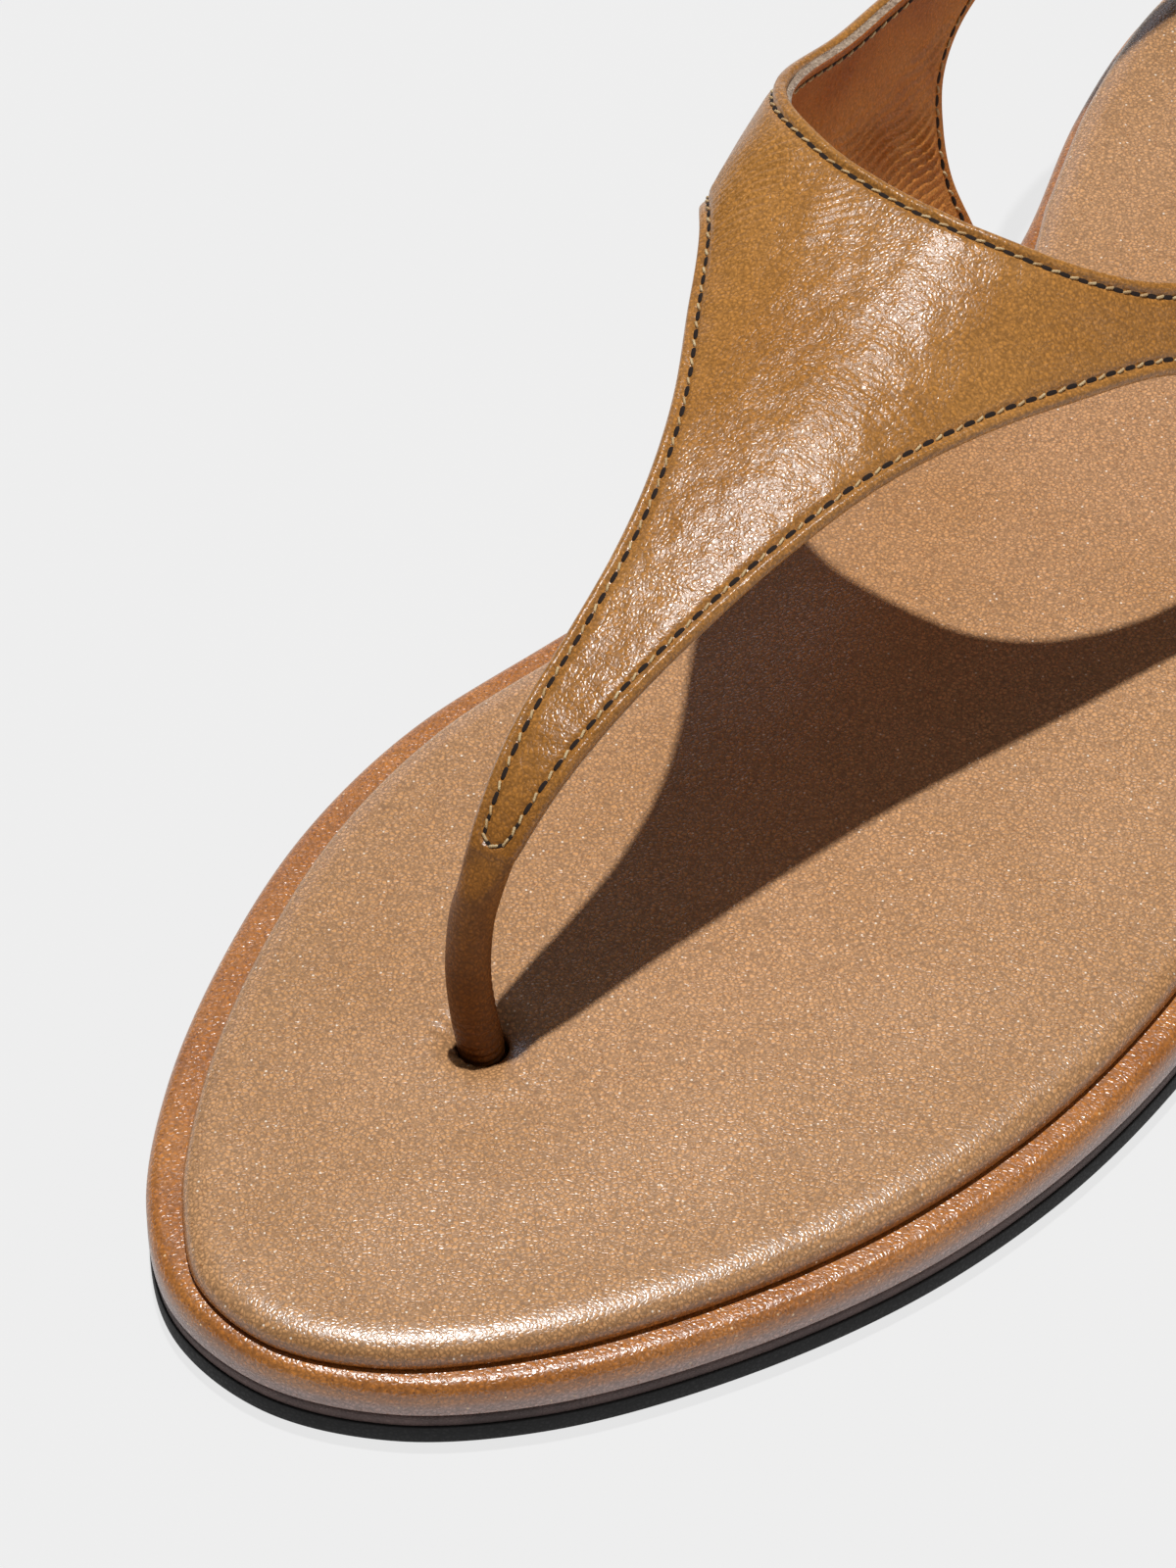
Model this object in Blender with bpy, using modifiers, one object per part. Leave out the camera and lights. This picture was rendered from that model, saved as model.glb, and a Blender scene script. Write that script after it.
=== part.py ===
# Left toe post sandal with a slingback: flat layered sole, padded insole,
# and a one-piece leather upper made of toe post, vamp, two side arms and heel strap.
# Metres, +Z up. The toe points to -Y, the arch side of this left shoe is at -X.
# The origin is on the floor, under the middle of the sole.

import bpy
import bmesh
import math
from mathutils import Vector
from mathutils.geometry import delaunay_2d_cdt

MM = 0.001

# Driving sizes
SOLE_LENGTH = 251.2 * MM       # toe tip to heel end, a European 38
BALL_WIDTH = 88.0 * MM         # widest place of the sole
OUTSOLE_THICK = 2.3 * MM
STRIP_THICK = 0.8 * MM         # dark leather layer between rubber and rand
RAND_THICK = 4.1 * MM
INSOLE_THICK = 2.7 * MM
GAP = 0.3 * MM                 # left between pieces that are glued in the real shoe
STRIP_INSET = 0.3 * MM
OUTSOLE_INSET = 0.1 * MM
OUTSOLE_BEVEL = 0.3 * MM
LEDGE_BALL = 4.0 * MM          # rand left bare outside the insole, arch side of the ball
LEDGE_WAIST = 1.3 * MM         # arch side behind the arm
LEDGE_LATERAL = 3.1 * MM
LEDGE_TOE = 1.4 * MM
RAND_ROUND = 1.6 * MM          # upper edge of the rand
RAND_FOOT_ROUND = 0.6 * MM     # its lower edge
INSOLE_ROUND = 2.3 * MM
INSOLE_CROWN = 0.5 * MM        # padding rises this much inside the rim
LEATHER_WALL = 2.0 * MM        # outer leather and lining together
POST_WIDTH = 4.4 * MM          # rolled leather between the toes
POST_SLACK = 0.6 * MM          # room round the post in its hole
INSTEP_RISE = 51.5 * MM        # outer face of the vamp's back edge over the rand
STRAP_WIDTH = 8.5 * MM         # heel strap at the back
ARM_WIDTH = 21.0 * MM          # side arm where it enters the sole
ARM_SEAT = 0.7 * MM            # arm's outer face inside the rand's edge
FOOT_TRIM = 1.2 * MM           # arms and post are made this much longer, then cut level

# Places along the sole, as shares of its length from the toe tip
POST_ALONG = 0.168
ARM_ALONG = 0.616              # middle of both arms at the sole
WAIST_FROM = 0.380             # the bare ledge of the arch side narrows between these
WAIST_TO = 0.740
STRAP_ALONG = 0.690            # where the arms end and the plain heel strap starts
POST_ACROSS = -0.134           # of the ball width, from the sole's middle

# Outline of the sole: along is a share of the length, the edges of the ball width
SOLE_ROWS = (
    # along, medial, lateral
    (0.012, -0.250, 0.022),
    (0.045, -0.344, 0.155),
    (0.100, -0.420, 0.286),
    (0.170, -0.474, 0.400),
    (0.240, -0.499, 0.467),
    (0.310, -0.484, 0.497),
    (0.380, -0.424, 0.496),
    (0.460, -0.347, 0.458),
    (0.540, -0.291, 0.407),
    (0.620, -0.270, 0.370),
    (0.700, -0.293, 0.341),
    (0.780, -0.344, 0.329),
    (0.850, -0.362, 0.322),
    (0.910, -0.335, 0.293),
    (0.960, -0.246, 0.235),
    (0.990, -0.124, 0.120),
)
TOE_TIP = -0.117               # of the ball width, from the sole's middle
HEEL_TIP = -0.014

# Cross-sections of the last's skin. Height is a share of the instep's rise over the
# rand, the others of the ball width. Square makes the arch side fuller at its shoulder.
LAST_ROWS = (
    # along, height, ridge, medial half, lateral half, square
    (0.170, 0.470, -0.143, 0.310, 0.330, 2.4),
    (0.210, 0.615, -0.139, 0.310, 0.330, 2.4),
    (0.262, 0.715, -0.131, 0.315, 0.335, 2.5),
    (0.341, 0.828, -0.122, 0.320, 0.340, 2.8),
    (0.420, 0.918, -0.115, 0.325, 0.340, 3.6),
    (0.488, 1.000, -0.106, 0.351, 0.341, 5.4),
    (0.540, 1.060, -0.098, 0.361, 0.350, 6.0),
    (0.610, 1.130, -0.084, 0.357, 0.365, 6.0),
    (0.700, 1.240, -0.062, 0.352, 0.372, 5.6),
)
LATERAL_SQUARE = 2.4
WALL_PULL = 1.5                # how low the walls turn in towards the sole

# Edges of the upper. On the vamp the second number is the distance from the ridge
# across the last as a share of the ball width, on the arms a share of the height.
VAMP_MEDIAL = ((0.178, 0.028), (0.198, 0.040), (0.227, 0.049), (0.261, 0.054),
               (0.297, 0.063), (0.332, 0.083), (0.369, 0.119), (0.408, 0.176),
               (0.452, 0.252))
VAMP_LATERAL = ((0.178, 0.026), (0.193, 0.033), (0.215, 0.043), (0.252, 0.060),
                (0.284, 0.080), (0.322, 0.107), (0.371, 0.150), (0.415, 0.206),
                (0.458, 0.275), (0.504, 0.358))
VAMP_TOP = ((0.524, -0.266), (0.507, -0.210), (0.493, -0.130), (0.487, -0.060),
            (0.484, 0.000), (0.484, 0.060), (0.490, 0.130), (0.502, 0.200),
            (0.528, 0.289))
ARM_FRONT_MEDIAL = ((0.484, 0.755), (0.516, 0.620), (0.545, 0.450), (0.566, 0.240))
ARM_FRONT_LATERAL = ((0.537, 0.600), (0.560, 0.440), (0.572, 0.230))
ARM_REAR = ((0.648, 0.200), (0.642, 0.340), (0.643, 0.450), (0.649, 0.565), (0.662, 0.632))
ARM_TOP_MEDIAL = ((0.650, 0.846), (0.612, 0.855), (0.580, 0.866), (0.550, 0.915))
ARM_TOP_LATERAL = ((0.650, 0.820), (0.602, 0.790), (0.558, 0.792))
STRAP_FOOT = 0.682             # heel strap's lower and upper edge where it starts
STRAP_HEAD = 0.842

# Heel strap round the back: across of the ball width, height of the instep's rise
STRAP_ROWS = (
    # across, along, height, width
    (-0.416, 0.760, 0.765, 1.00),
    (-0.398, 0.840, 0.770, 1.00),
    (-0.330, 0.910, 0.785, 1.00),
    (-0.190, 0.962, 0.800, 1.00),
    (-0.014, 0.980, 0.805, 1.00),
    (0.140, 0.960, 0.800, 1.00),
    (0.228, 0.908, 0.785, 1.00),
    (0.276, 0.840, 0.770, 1.00),
    (0.274, 0.760, 0.765, 1.00),
)

# Middle line of the toe post, over its hole
POST_ROWS = (
    # across and along in post widths, height of the instep's rise
    (-0.05, -0.05, 0.060),
    (-0.14, -0.14, 0.137),
    (-0.29, -0.09, 0.253),
    (-0.39, 0.25, 0.353),
    (-0.31, 0.50, 0.420),
)

# Mesh steps
LOOP_STEPS = 112
EDGE_STEP = 2.6 * MM
SKIN_STEP = 3.2 * MM
STRAP_SPLIT = 3
STRAP_STEPS = 5
RING_POINTS = 16

STRIP_BASE = OUTSOLE_THICK + GAP
RAND_BASE = STRIP_BASE + STRIP_THICK + GAP
RAND_TOP = RAND_BASE + RAND_THICK
SEAT = RAND_TOP + GAP


def clear_scene():
    for item in list(bpy.data.objects):
        bpy.data.objects.remove(item, do_unlink=True)


def new_collection(name):
    collection = bpy.data.collections.new(name)
    bpy.context.scene.collection.children.link(collection)
    return collection


def make_material(name, color, roughness):
    material = bpy.data.materials.new(name)
    material.use_nodes = True
    shader = material.node_tree.nodes["Principled BSDF"]
    shader.inputs["Base Color"].default_value = (*color, 1.0)
    shader.inputs["Roughness"].default_value = roughness
    shader.inputs["Metallic"].default_value = 0.0
    return material


def add_object(name, bm, material, collection):
    mesh = bpy.data.meshes.new(name)
    bmesh.ops.recalc_face_normals(bm, faces=bm.faces)
    bm.to_mesh(mesh)
    bm.free()
    mesh.materials.append(material)
    mesh.shade_smooth()
    mesh.set_sharp_from_angle(angle=math.radians(40))
    item = bpy.data.objects.new(name, mesh)
    collection.objects.link(item)
    return item


def spline_span(four, steps):
    # Centripetal Catmull-Rom span between the second and third of four points
    knots = [0.0]
    for left, right in zip(four, four[1:]):
        knots.append(knots[-1] + max((right - left).length, 1e-9) ** 0.5)
    found = []
    for step in range(steps):
        place = knots[1] + (knots[2] - knots[1]) * step / steps

        def mix(first, second, low, high):
            share = (place - knots[low]) / (knots[high] - knots[low])
            return first * (1 - share) + second * share

        a = [mix(four[k], four[k + 1], k, k + 1) for k in range(3)]
        b = [mix(a[k], a[k + 1], k, k + 2) for k in range(2)]
        found.append(mix(b[0], b[1], 1, 2))
    return found


def smooth_curve(points, steps, closed=False):
    # Smooth line through the points, steps pieces between two of them
    if closed:
        ring = [points[-1]] + list(points) + list(points[:2])
    else:
        ring = [points[0] * 2 - points[1]] + list(points) + [points[-1] * 2 - points[-2]]
    found = []
    for index in range(len(ring) - 3):
        found += spline_span(ring[index:index + 4], steps)
    if not closed:
        found.append(points[-1].copy())
    return found


def even_spacing(points, count):
    # Same closed line with count points at equal distances
    lengths = [0.0]
    for left, right in zip(points, points[1:] + points[:1]):
        lengths.append(lengths[-1] + (right - left).length)
    ring = points + points[:1]
    found = []
    index = 0
    for step in range(count):
        goal = lengths[-1] * step / count
        while lengths[index + 1] < goal:
            index += 1
        share = (goal - lengths[index]) / (lengths[index + 1] - lengths[index])
        found.append(ring[index].lerp(ring[index + 1], share))
    return found


def column(rows, along, number):
    # A table's column at any place along the sole, as a smooth curve
    if along <= rows[0][0]:
        return rows[0][number]
    if along >= rows[-1][0]:
        return rows[-1][number]
    last = len(rows) - 1
    index = next(i for i in range(last) if rows[i + 1][0] >= along)
    low, high = rows[index], rows[index + 1]
    width = high[0] - low[0]
    share = (along - low[0]) / width
    before, after = rows[max(index - 1, 0)], rows[min(index + 2, last)]
    slope_in = (high[number] - before[number]) / (high[0] - before[0]) * width
    slope_out = (after[number] - low[number]) / (after[0] - low[0]) * width
    square, cube = share * share, share ** 3
    return ((2 * cube - 3 * square + 1) * low[number] + (cube - 2 * square + share) * slope_in
            + (3 * square - 2 * cube) * high[number] + (cube - square) * slope_out)


def sole_place(along):
    return (along - 0.5) * SOLE_LENGTH


def sole_loop():
    # Clockwise seen from above: toe tip, lateral side, heel, medial side
    points = [Vector((TOE_TIP * BALL_WIDTH, sole_place(0.0)))]
    points += [Vector((row[2] * BALL_WIDTH, sole_place(row[0]))) for row in SOLE_ROWS]
    points.append(Vector((HEEL_TIP * BALL_WIDTH, sole_place(1.0))))
    points += [Vector((row[1] * BALL_WIDTH, sole_place(row[0]))) for row in reversed(SOLE_ROWS)]
    return even_spacing(smooth_curve(points, 12, closed=True), LOOP_STEPS)


def inset_loop(loop, inset):
    # inset is a distance, or a function of the point and its outward direction
    found = []
    for index, point in enumerate(loop):
        ahead = loop[(index + 1) % len(loop)] - loop[index - 1]
        outward = Vector((ahead.y, -ahead.x)).normalized()
        depth = inset(point, outward) if callable(inset) else inset
        found.append(point - outward * depth)
    return found


def stacked_solid(loop, levels, extra_depth=0.0):
    # Rings of the same outline, each with its own inset and height, capped at both ends
    bm = bmesh.new()
    rings = []
    for inset, height in levels:
        def depth(point, outward, inset=inset):
            base = extra_depth(point, outward) if callable(extra_depth) else extra_depth
            return base + inset
        ring = [bm.verts.new((p.x, p.y, height)) for p in inset_loop(loop, depth)]
        rings.append(ring)
    count = len(loop)
    for lower, upper in zip(rings, rings[1:]):
        for index in range(count):
            after = (index + 1) % count
            bm.faces.new((lower[index], lower[after], upper[after], upper[index]))
    bm.faces.new(list(reversed(rings[0])))
    bm.faces.new(rings[-1])
    return bm


def round_levels(radius, height, turns, upward):
    # Quarter circle between a side wall and a flat face, as insets and heights
    levels = []
    for step in range(turns + 1):
        angle = math.radians(90) * step / turns
        if upward:
            levels.append((radius * (1 - math.cos(angle)), height - radius * (1 - math.sin(angle))))
        else:
            levels.append((radius * (1 - math.sin(angle)), height + radius * (1 - math.cos(angle))))
    return levels


def make_outsole(loop, material, collection):
    levels = [(OUTSOLE_BEVEL, 0.0), (0.0, OUTSOLE_BEVEL), (0.0, OUTSOLE_THICK)]
    bm = stacked_solid(loop, levels, OUTSOLE_INSET)
    return add_object("outsole", bm, material, collection)


def make_strip(loop, material, collection):
    levels = [(0.0, STRIP_BASE), (0.0, STRIP_BASE + STRIP_THICK)]
    bm = stacked_solid(loop, levels, STRIP_INSET)
    return add_object("midsole", bm, material, collection)


def make_rand(loop, material, collection):
    levels = round_levels(RAND_FOOT_ROUND, RAND_BASE, 3, upward=False)
    levels += round_levels(RAND_ROUND, RAND_TOP, 4, upward=True)
    bm = stacked_solid(loop, levels)
    return add_object("rand", bm, material, collection)


def ledge_depth(point, outward):
    side = (1 + outward.x) / 2
    back = (point.y - sole_place(WAIST_FROM)) / (sole_place(WAIST_TO) - sole_place(WAIST_FROM))
    back = max(0.0, min(1.0, back))
    medial = LEDGE_BALL + (LEDGE_WAIST - LEDGE_BALL) * back * back * (3 - 2 * back)
    ledge = medial + (LEDGE_LATERAL - medial) * side
    ledge += (LEDGE_TOE - ledge) * max(0.0, -outward.y) ** 3
    # The insole gives way to the arms where they pass it
    seat = ARM_SEAT + LEATHER_WALL + GAP * 3
    off = abs(point.y - sole_place(ARM_ALONG)) / ARM_WIDTH
    give = max(0.0, min(1.0, 1.7 - 1.5 * off))
    return ledge + give * max(0.0, seat - ledge)


def make_insole(loop, material, collection, cutters):
    top = SEAT + INSOLE_THICK
    levels = [(0.0, SEAT)] + round_levels(INSOLE_ROUND, top, 5, upward=True)
    levels.append((INSOLE_ROUND * 3, top + INSOLE_CROWN * 0.7))
    levels.append((INSOLE_ROUND * 5, top + INSOLE_CROWN))
    bm = stacked_solid(loop, levels, ledge_depth)
    insole = add_object("insole", bm, material, collection)
    hole = bpy.data.meshes.new("post_hole")
    bm = bmesh.new()
    radius = POST_WIDTH / 2 + POST_SLACK
    bmesh.ops.create_cone(bm, cap_ends=True, segments=24, radius1=radius, radius2=radius,
                          depth=INSOLE_THICK * 4)
    bm.to_mesh(hole)
    bm.free()
    cutter = bpy.data.objects.new("post_hole", hole)
    cutter.location = (POST_ACROSS * BALL_WIDTH, sole_place(POST_ALONG), SEAT + INSOLE_THICK / 2)
    cutter.display_type = "WIRE"
    cutter.hide_render = True
    cutters.objects.link(cutter)
    cut = insole.modifiers.new("post_hole", "BOOLEAN")
    cut.operation = "DIFFERENCE"
    cut.solver = "EXACT"
    cut.object = cutter
    return insole


def seat_edge(along, side):
    # Where an arm's outer face meets the sole
    edge = column(SOLE_ROWS, along, 2 if side > 0 else 1) * BALL_WIDTH
    return edge - side * ARM_SEAT


def half_section(along, side):
    # One side of the last's skin at a station, from the ridge down to the sole
    rise = column(LAST_ROWS, along, 1) * INSTEP_RISE
    ridge = column(LAST_ROWS, along, 2) * BALL_WIDTH
    half = column(LAST_ROWS, along, 4 if side > 0 else 3) * BALL_WIDTH
    square = LATERAL_SQUARE if side > 0 else column(LAST_ROWS, along, 5)
    pull = seat_edge(along, side) - (ridge + side * half)
    points = []
    turns = 48
    for step in range(turns + 1):
        # Steps are closer at the ridge, where a full section moves fast
        angle = math.radians(90) * (1 - (step / turns) ** 2 * 0.6 - (step / turns) * 0.4)
        high = math.sin(angle)
        wide = max(0.0, 1 - high * high) ** (1 / square)
        across = ridge + side * half * wide + pull * (1 - high) ** WALL_PULL
        points.append(Vector((across, SEAT + rise * high)))
    points.append(points[-1] - Vector((0.0, FOOT_TRIM)))
    lengths = [0.0]
    for left, right in zip(points, points[1:]):
        lengths.append(lengths[-1] + (right - left).length)
    return points, lengths


def on_last(along, girth):
    # Point of the skin: girth is the way round from the ridge, lateral side positive
    points, lengths = half_section(along, 1 if girth >= 0 else -1)
    goal = min(abs(girth), lengths[-1])
    index = next((i for i in range(len(lengths) - 1) if lengths[i + 1] >= goal), len(lengths) - 2)
    share = (goal - lengths[index]) / (lengths[index + 1] - lengths[index])
    spot = points[index].lerp(points[index + 1], share)
    return Vector((spot.x, sole_place(along), spot.y))


def girth_at_height(along, side, height):
    # Way round from the ridge to a height, given as a share of the instep's rise
    points, lengths = half_section(along, side)
    goal = SEAT + height * INSTEP_RISE
    for index in range(len(points) - 1):
        if points[index + 1].y <= goal:
            drop = points[index].y - points[index + 1].y
            share = (points[index].y - goal) / drop if drop else 0.0
            return side * (lengths[index] + share * (lengths[index + 1] - lengths[index]))
    return side * lengths[-1]


def flat(along, girth):
    return Vector((sole_place(along), girth))


def arm_points(rows, side):
    return [flat(along, girth_at_height(along, side, height)) for along, height in rows]


def arm_foot(side):
    # Both corners of an arm at the sole, front corner first
    half = ARM_WIDTH / SOLE_LENGTH / 2
    corners = []
    for along in (ARM_ALONG - half, ARM_ALONG + half):
        corners.append(flat(along, side * half_section(along, side)[1][-1]))
    return corners


def strap_rung(side, along=STRAP_ALONG):
    # Flat points across the start of the heel strap, from its lower to its upper edge
    rung = []
    for step in range(STRAP_SPLIT + 1):
        height = STRAP_FOOT + (STRAP_HEAD - STRAP_FOOT) * step / STRAP_SPLIT
        rung.append(flat(along, girth_at_height(along, side, height)))
    return rung


def dense(points):
    # Smooth open line with points about one edge step apart
    fine = smooth_curve(points, 12)
    found = [fine[0]]
    travel = 0.0
    for left, right in zip(fine, fine[1:]):
        travel += (right - left).length
        if travel >= EDGE_STEP:
            found.append(right)
            travel = 0.0
    if (found[-1] - fine[-1]).length < EDGE_STEP * 0.4:
        found.pop()
    found.append(fine[-1])
    return found


def side_outline(side):
    # Outline of one half of the flat pattern, from the vamp's tip to the top edge
    vamp = VAMP_LATERAL if side > 0 else VAMP_MEDIAL
    front = ARM_FRONT_LATERAL if side > 0 else ARM_FRONT_MEDIAL
    top = ARM_TOP_LATERAL if side > 0 else ARM_TOP_MEDIAL
    toe = [flat(POST_ALONG + 0.003, 0.0), flat(POST_ALONG + 0.005, side * 0.018 * BALL_WIDTH)]
    foot = arm_foot(side)
    rung = strap_rung(side)
    fore = toe + [flat(a, side * g * BALL_WIDTH) for a, g in vamp] + arm_points(front, side)
    crown = [flat(a, g * BALL_WIDTH) for a, g in VAMP_TOP if g * side >= 0]
    crown.sort(key=lambda p: -abs(p.y))
    line = dense(fore + foot[:1])
    line += dense(foot)[1:]
    line += dense(foot[1:] + arm_points(ARM_REAR, side) + rung[:1])[1:]
    line += rung[1:]
    line += dense(rung[-1:] + arm_points(top, side) + crown)[1:]
    return line


def inside(point, ring):
    hit = False
    for left, right in zip(ring, ring[1:] + ring[:1]):
        if (left.y > point.y) != (right.y > point.y):
            cross = left.x + (right.x - left.x) * (point.y - left.y) / (right.y - left.y)
            if point.x < cross:
                hit = not hit
    return hit


def pattern_mesh():
    # Flat pattern filled with triangles, as points and faces
    medial = side_outline(-1)
    lateral = side_outline(1)
    ring = lateral + list(reversed(medial))[1:-1]
    low = Vector((min(p.x for p in ring), min(p.y for p in ring)))
    high = Vector((max(p.x for p in ring), max(p.y for p in ring)))
    inner = []
    rows = int((high.x - low.x) / SKIN_STEP) + 1
    columns = int((high.y - low.y) / SKIN_STEP) + 1
    for i in range(rows):
        for j in range(columns):
            shift = 0.5 if i % 2 else 0.0
            spot = low + Vector((i * SKIN_STEP * 0.87, (j + shift) * SKIN_STEP))
            near = min((spot - p).length for p in ring)
            if near > SKIN_STEP * 0.62 and inside(spot, ring):
                inner.append(spot)
    edges = [(i, (i + 1) % len(ring)) for i in range(len(ring))]
    points, _, faces, *_ = delaunay_2d_cdt(ring + inner, edges, [], 1, 1e-7)
    return points, faces


def heel_strap_rows():
    # Lines along the strap, from the medial arm round the heel to the lateral one
    def lifted(side, along):
        return [on_last((p.x / SOLE_LENGTH) + 0.5, p.y) for p in strap_rung(side, along)]

    lead = 0.012
    rungs = [lifted(-1, STRAP_ALONG - lead), lifted(-1, STRAP_ALONG)]
    for across, along, height, width in STRAP_ROWS:
        middle = Vector((across * BALL_WIDTH, sole_place(along), SEAT + height * INSTEP_RISE))
        half = Vector((0.0, 0.0, STRAP_WIDTH * width / 2))
        rungs.append([middle - half + half * 2 * step / STRAP_SPLIT
                      for step in range(STRAP_SPLIT + 1)])
    rungs += [lifted(1, STRAP_ALONG), lifted(1, STRAP_ALONG - lead)]
    lines = [smooth_curve([rung[k] for rung in rungs], STRAP_STEPS)
             for k in range(STRAP_SPLIT + 1)]
    return [line[STRAP_STEPS:-STRAP_STEPS] for line in lines]


def leather_sheet():
    # Outer face of the upper as one open surface
    bm = bmesh.new()
    points, faces = pattern_mesh()
    verts = [bm.verts.new(on_last(p.x / SOLE_LENGTH + 0.5, p.y)) for p in points]
    for face in faces:
        bm.faces.new([verts[i] for i in face])
    lines = heel_strap_rows()
    grid = [[bm.verts.new(p) for p in line] for line in lines]
    for lower, upper in zip(grid, grid[1:]):
        for index in range(len(lower) - 1):
            bm.faces.new((lower[index], lower[index + 1], upper[index + 1], upper[index]))
    bmesh.ops.remove_doubles(bm, verts=bm.verts, dist=0.00005)
    bmesh.ops.recalc_face_normals(bm, faces=bm.faces)
    crest = max(bm.faces, key=lambda f: f.calc_center_median().z)
    if crest.normal.z < 0:
        bmesh.ops.reverse_faces(bm, faces=bm.faces)
    return bm


def post_path():
    # Middle line of the rolled post, from the insole's hole up into the vamp
    x = POST_ACROSS * BALL_WIDTH
    y = sole_place(POST_ALONG)
    points = [Vector((x, y, SEAT - FOOT_TRIM))]
    points += [Vector((x + across * POST_WIDTH, y + along * POST_WIDTH, SEAT + height * INSTEP_RISE))
               for across, along, height in POST_ROWS]
    for along in (POST_ALONG + 0.018, POST_ALONG + 0.034, POST_ALONG + 0.050):
        top = on_last(along, 0.0)
        ahead = (on_last(along + 0.01, 0.0) - top).normalized()
        points.append(top + Vector((0.0, ahead.z, -ahead.y)) * LEATHER_WALL * 0.5)
    return smooth_curve(points, 4)


def add_post(upper, material, collection):
    # Round at the sole, flattened where it runs into the vamp
    path = post_path()
    bm = bmesh.new()
    rings = []
    count = len(path)
    for index, point in enumerate(path):
        ahead = (path[min(index + 1, count - 1)] - path[max(index - 1, 0)]).normalized()
        across = Vector((1.0, 0.0, 0.0))
        deep = across.cross(ahead).normalized()
        share = max(0.0, (index / (count - 1) - 0.55) / 0.45)
        wide = POST_WIDTH / 2 * (1 + 0.10 * share)
        thick = POST_WIDTH / 2 * (1 - share) + LEATHER_WALL * 0.36 * share
        ring = []
        for step in range(RING_POINTS):
            angle = math.tau * step / RING_POINTS
            offset = across * wide * math.cos(angle) + deep * thick * math.sin(angle)
            ring.append(bm.verts.new(point + offset))
        rings.append(ring)
    for lower, higher in zip(rings, rings[1:]):
        for step in range(RING_POINTS):
            after = (step + 1) % RING_POINTS
            bm.faces.new((lower[step], lower[after], higher[after], higher[step]))
    bm.faces.new(list(reversed(rings[0])))
    bm.faces.new(rings[-1])
    post = add_object("post_form", bm, material, collection)
    post.display_type = "WIRE"
    post.hide_render = True
    join = upper.modifiers.new("post", "BOOLEAN")
    join.operation = "UNION"
    join.solver = "EXACT"
    join.object = post


def cut_feet(upper, cutters):
    # Arms and post end level, just over the rand
    bm = bmesh.new()
    bmesh.ops.create_cube(bm, size=1.0)
    mesh = bpy.data.meshes.new("seat_cut")
    bm.to_mesh(mesh)
    bm.free()
    cutter = bpy.data.objects.new("seat_cut", mesh)
    depth = FOOT_TRIM * 4
    cutter.scale = (BALL_WIDTH * 1.5, SOLE_LENGTH * 1.2, depth)
    cutter.location = (0.0, 0.0, SEAT - depth / 2)
    cutter.display_type = "WIRE"
    cutter.hide_render = True
    cutters.objects.link(cutter)
    cut = upper.modifiers.new("seat", "BOOLEAN")
    cut.operation = "DIFFERENCE"
    cut.solver = "EXACT"
    cut.object = cutter


def make_upper(material, collection, cutters):
    mesh = bpy.data.meshes.new("upper")
    bm = leather_sheet()
    bm.to_mesh(mesh)
    bm.free()
    mesh.materials.append(material)
    mesh.shade_smooth()
    upper = bpy.data.objects.new("upper", mesh)
    collection.objects.link(upper)
    wall = upper.modifiers.new("wall", "SOLIDIFY")
    wall.thickness = LEATHER_WALL
    wall.offset = -1.0
    wall.use_even_offset = True
    add_post(upper, material, cutters)
    cut_feet(upper, cutters)
    return upper


def main():
    clear_scene()
    shoe = new_collection("toe_post_sandal")
    cutters = new_collection("forms")
    rubber = make_material("black_rubber", (0.018, 0.018, 0.019), 0.55)
    dark_leather = make_material("dark_leather", (0.060, 0.045, 0.045), 0.60)
    rand_leather = make_material("rand_leather", (0.42, 0.19, 0.08), 0.45)
    insole_leather = make_material("insole_leather", (0.55, 0.33, 0.15), 0.45)
    tan_leather = make_material("tan_leather", (0.42, 0.19, 0.05), 0.40)
    loop = sole_loop()
    make_outsole(loop, rubber, shoe)
    make_strip(loop, dark_leather, shoe)
    make_rand(loop, rand_leather, shoe)
    make_insole(loop, insole_leather, shoe, cutters)
    make_upper(tan_leather, shoe, cutters)


main()
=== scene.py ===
import math

import bmesh
import bpy
import numpy as np
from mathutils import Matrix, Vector
from mathutils.geometry import delaunay_2d_cdt


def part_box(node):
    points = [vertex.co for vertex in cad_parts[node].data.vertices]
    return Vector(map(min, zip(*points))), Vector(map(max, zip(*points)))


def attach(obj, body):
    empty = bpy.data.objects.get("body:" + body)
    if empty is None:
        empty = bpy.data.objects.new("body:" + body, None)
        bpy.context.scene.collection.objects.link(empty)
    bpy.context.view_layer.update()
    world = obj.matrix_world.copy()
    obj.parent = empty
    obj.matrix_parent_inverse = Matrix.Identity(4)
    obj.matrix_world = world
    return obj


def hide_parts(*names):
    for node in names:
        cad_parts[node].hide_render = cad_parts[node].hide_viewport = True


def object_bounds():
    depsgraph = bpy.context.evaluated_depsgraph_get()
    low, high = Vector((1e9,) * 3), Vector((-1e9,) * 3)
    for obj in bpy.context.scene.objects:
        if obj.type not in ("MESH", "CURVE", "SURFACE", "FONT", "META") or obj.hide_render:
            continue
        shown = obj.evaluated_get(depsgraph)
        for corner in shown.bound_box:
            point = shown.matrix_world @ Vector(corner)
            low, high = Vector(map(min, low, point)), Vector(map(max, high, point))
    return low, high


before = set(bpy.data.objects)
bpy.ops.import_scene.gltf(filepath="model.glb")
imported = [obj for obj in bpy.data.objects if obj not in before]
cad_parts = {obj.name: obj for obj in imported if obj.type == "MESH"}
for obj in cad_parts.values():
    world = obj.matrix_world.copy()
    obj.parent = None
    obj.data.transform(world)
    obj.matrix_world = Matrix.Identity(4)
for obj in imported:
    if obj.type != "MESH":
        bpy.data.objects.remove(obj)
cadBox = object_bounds()
print("frame loaded")

mm = 0.001


# curves and tables

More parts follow.
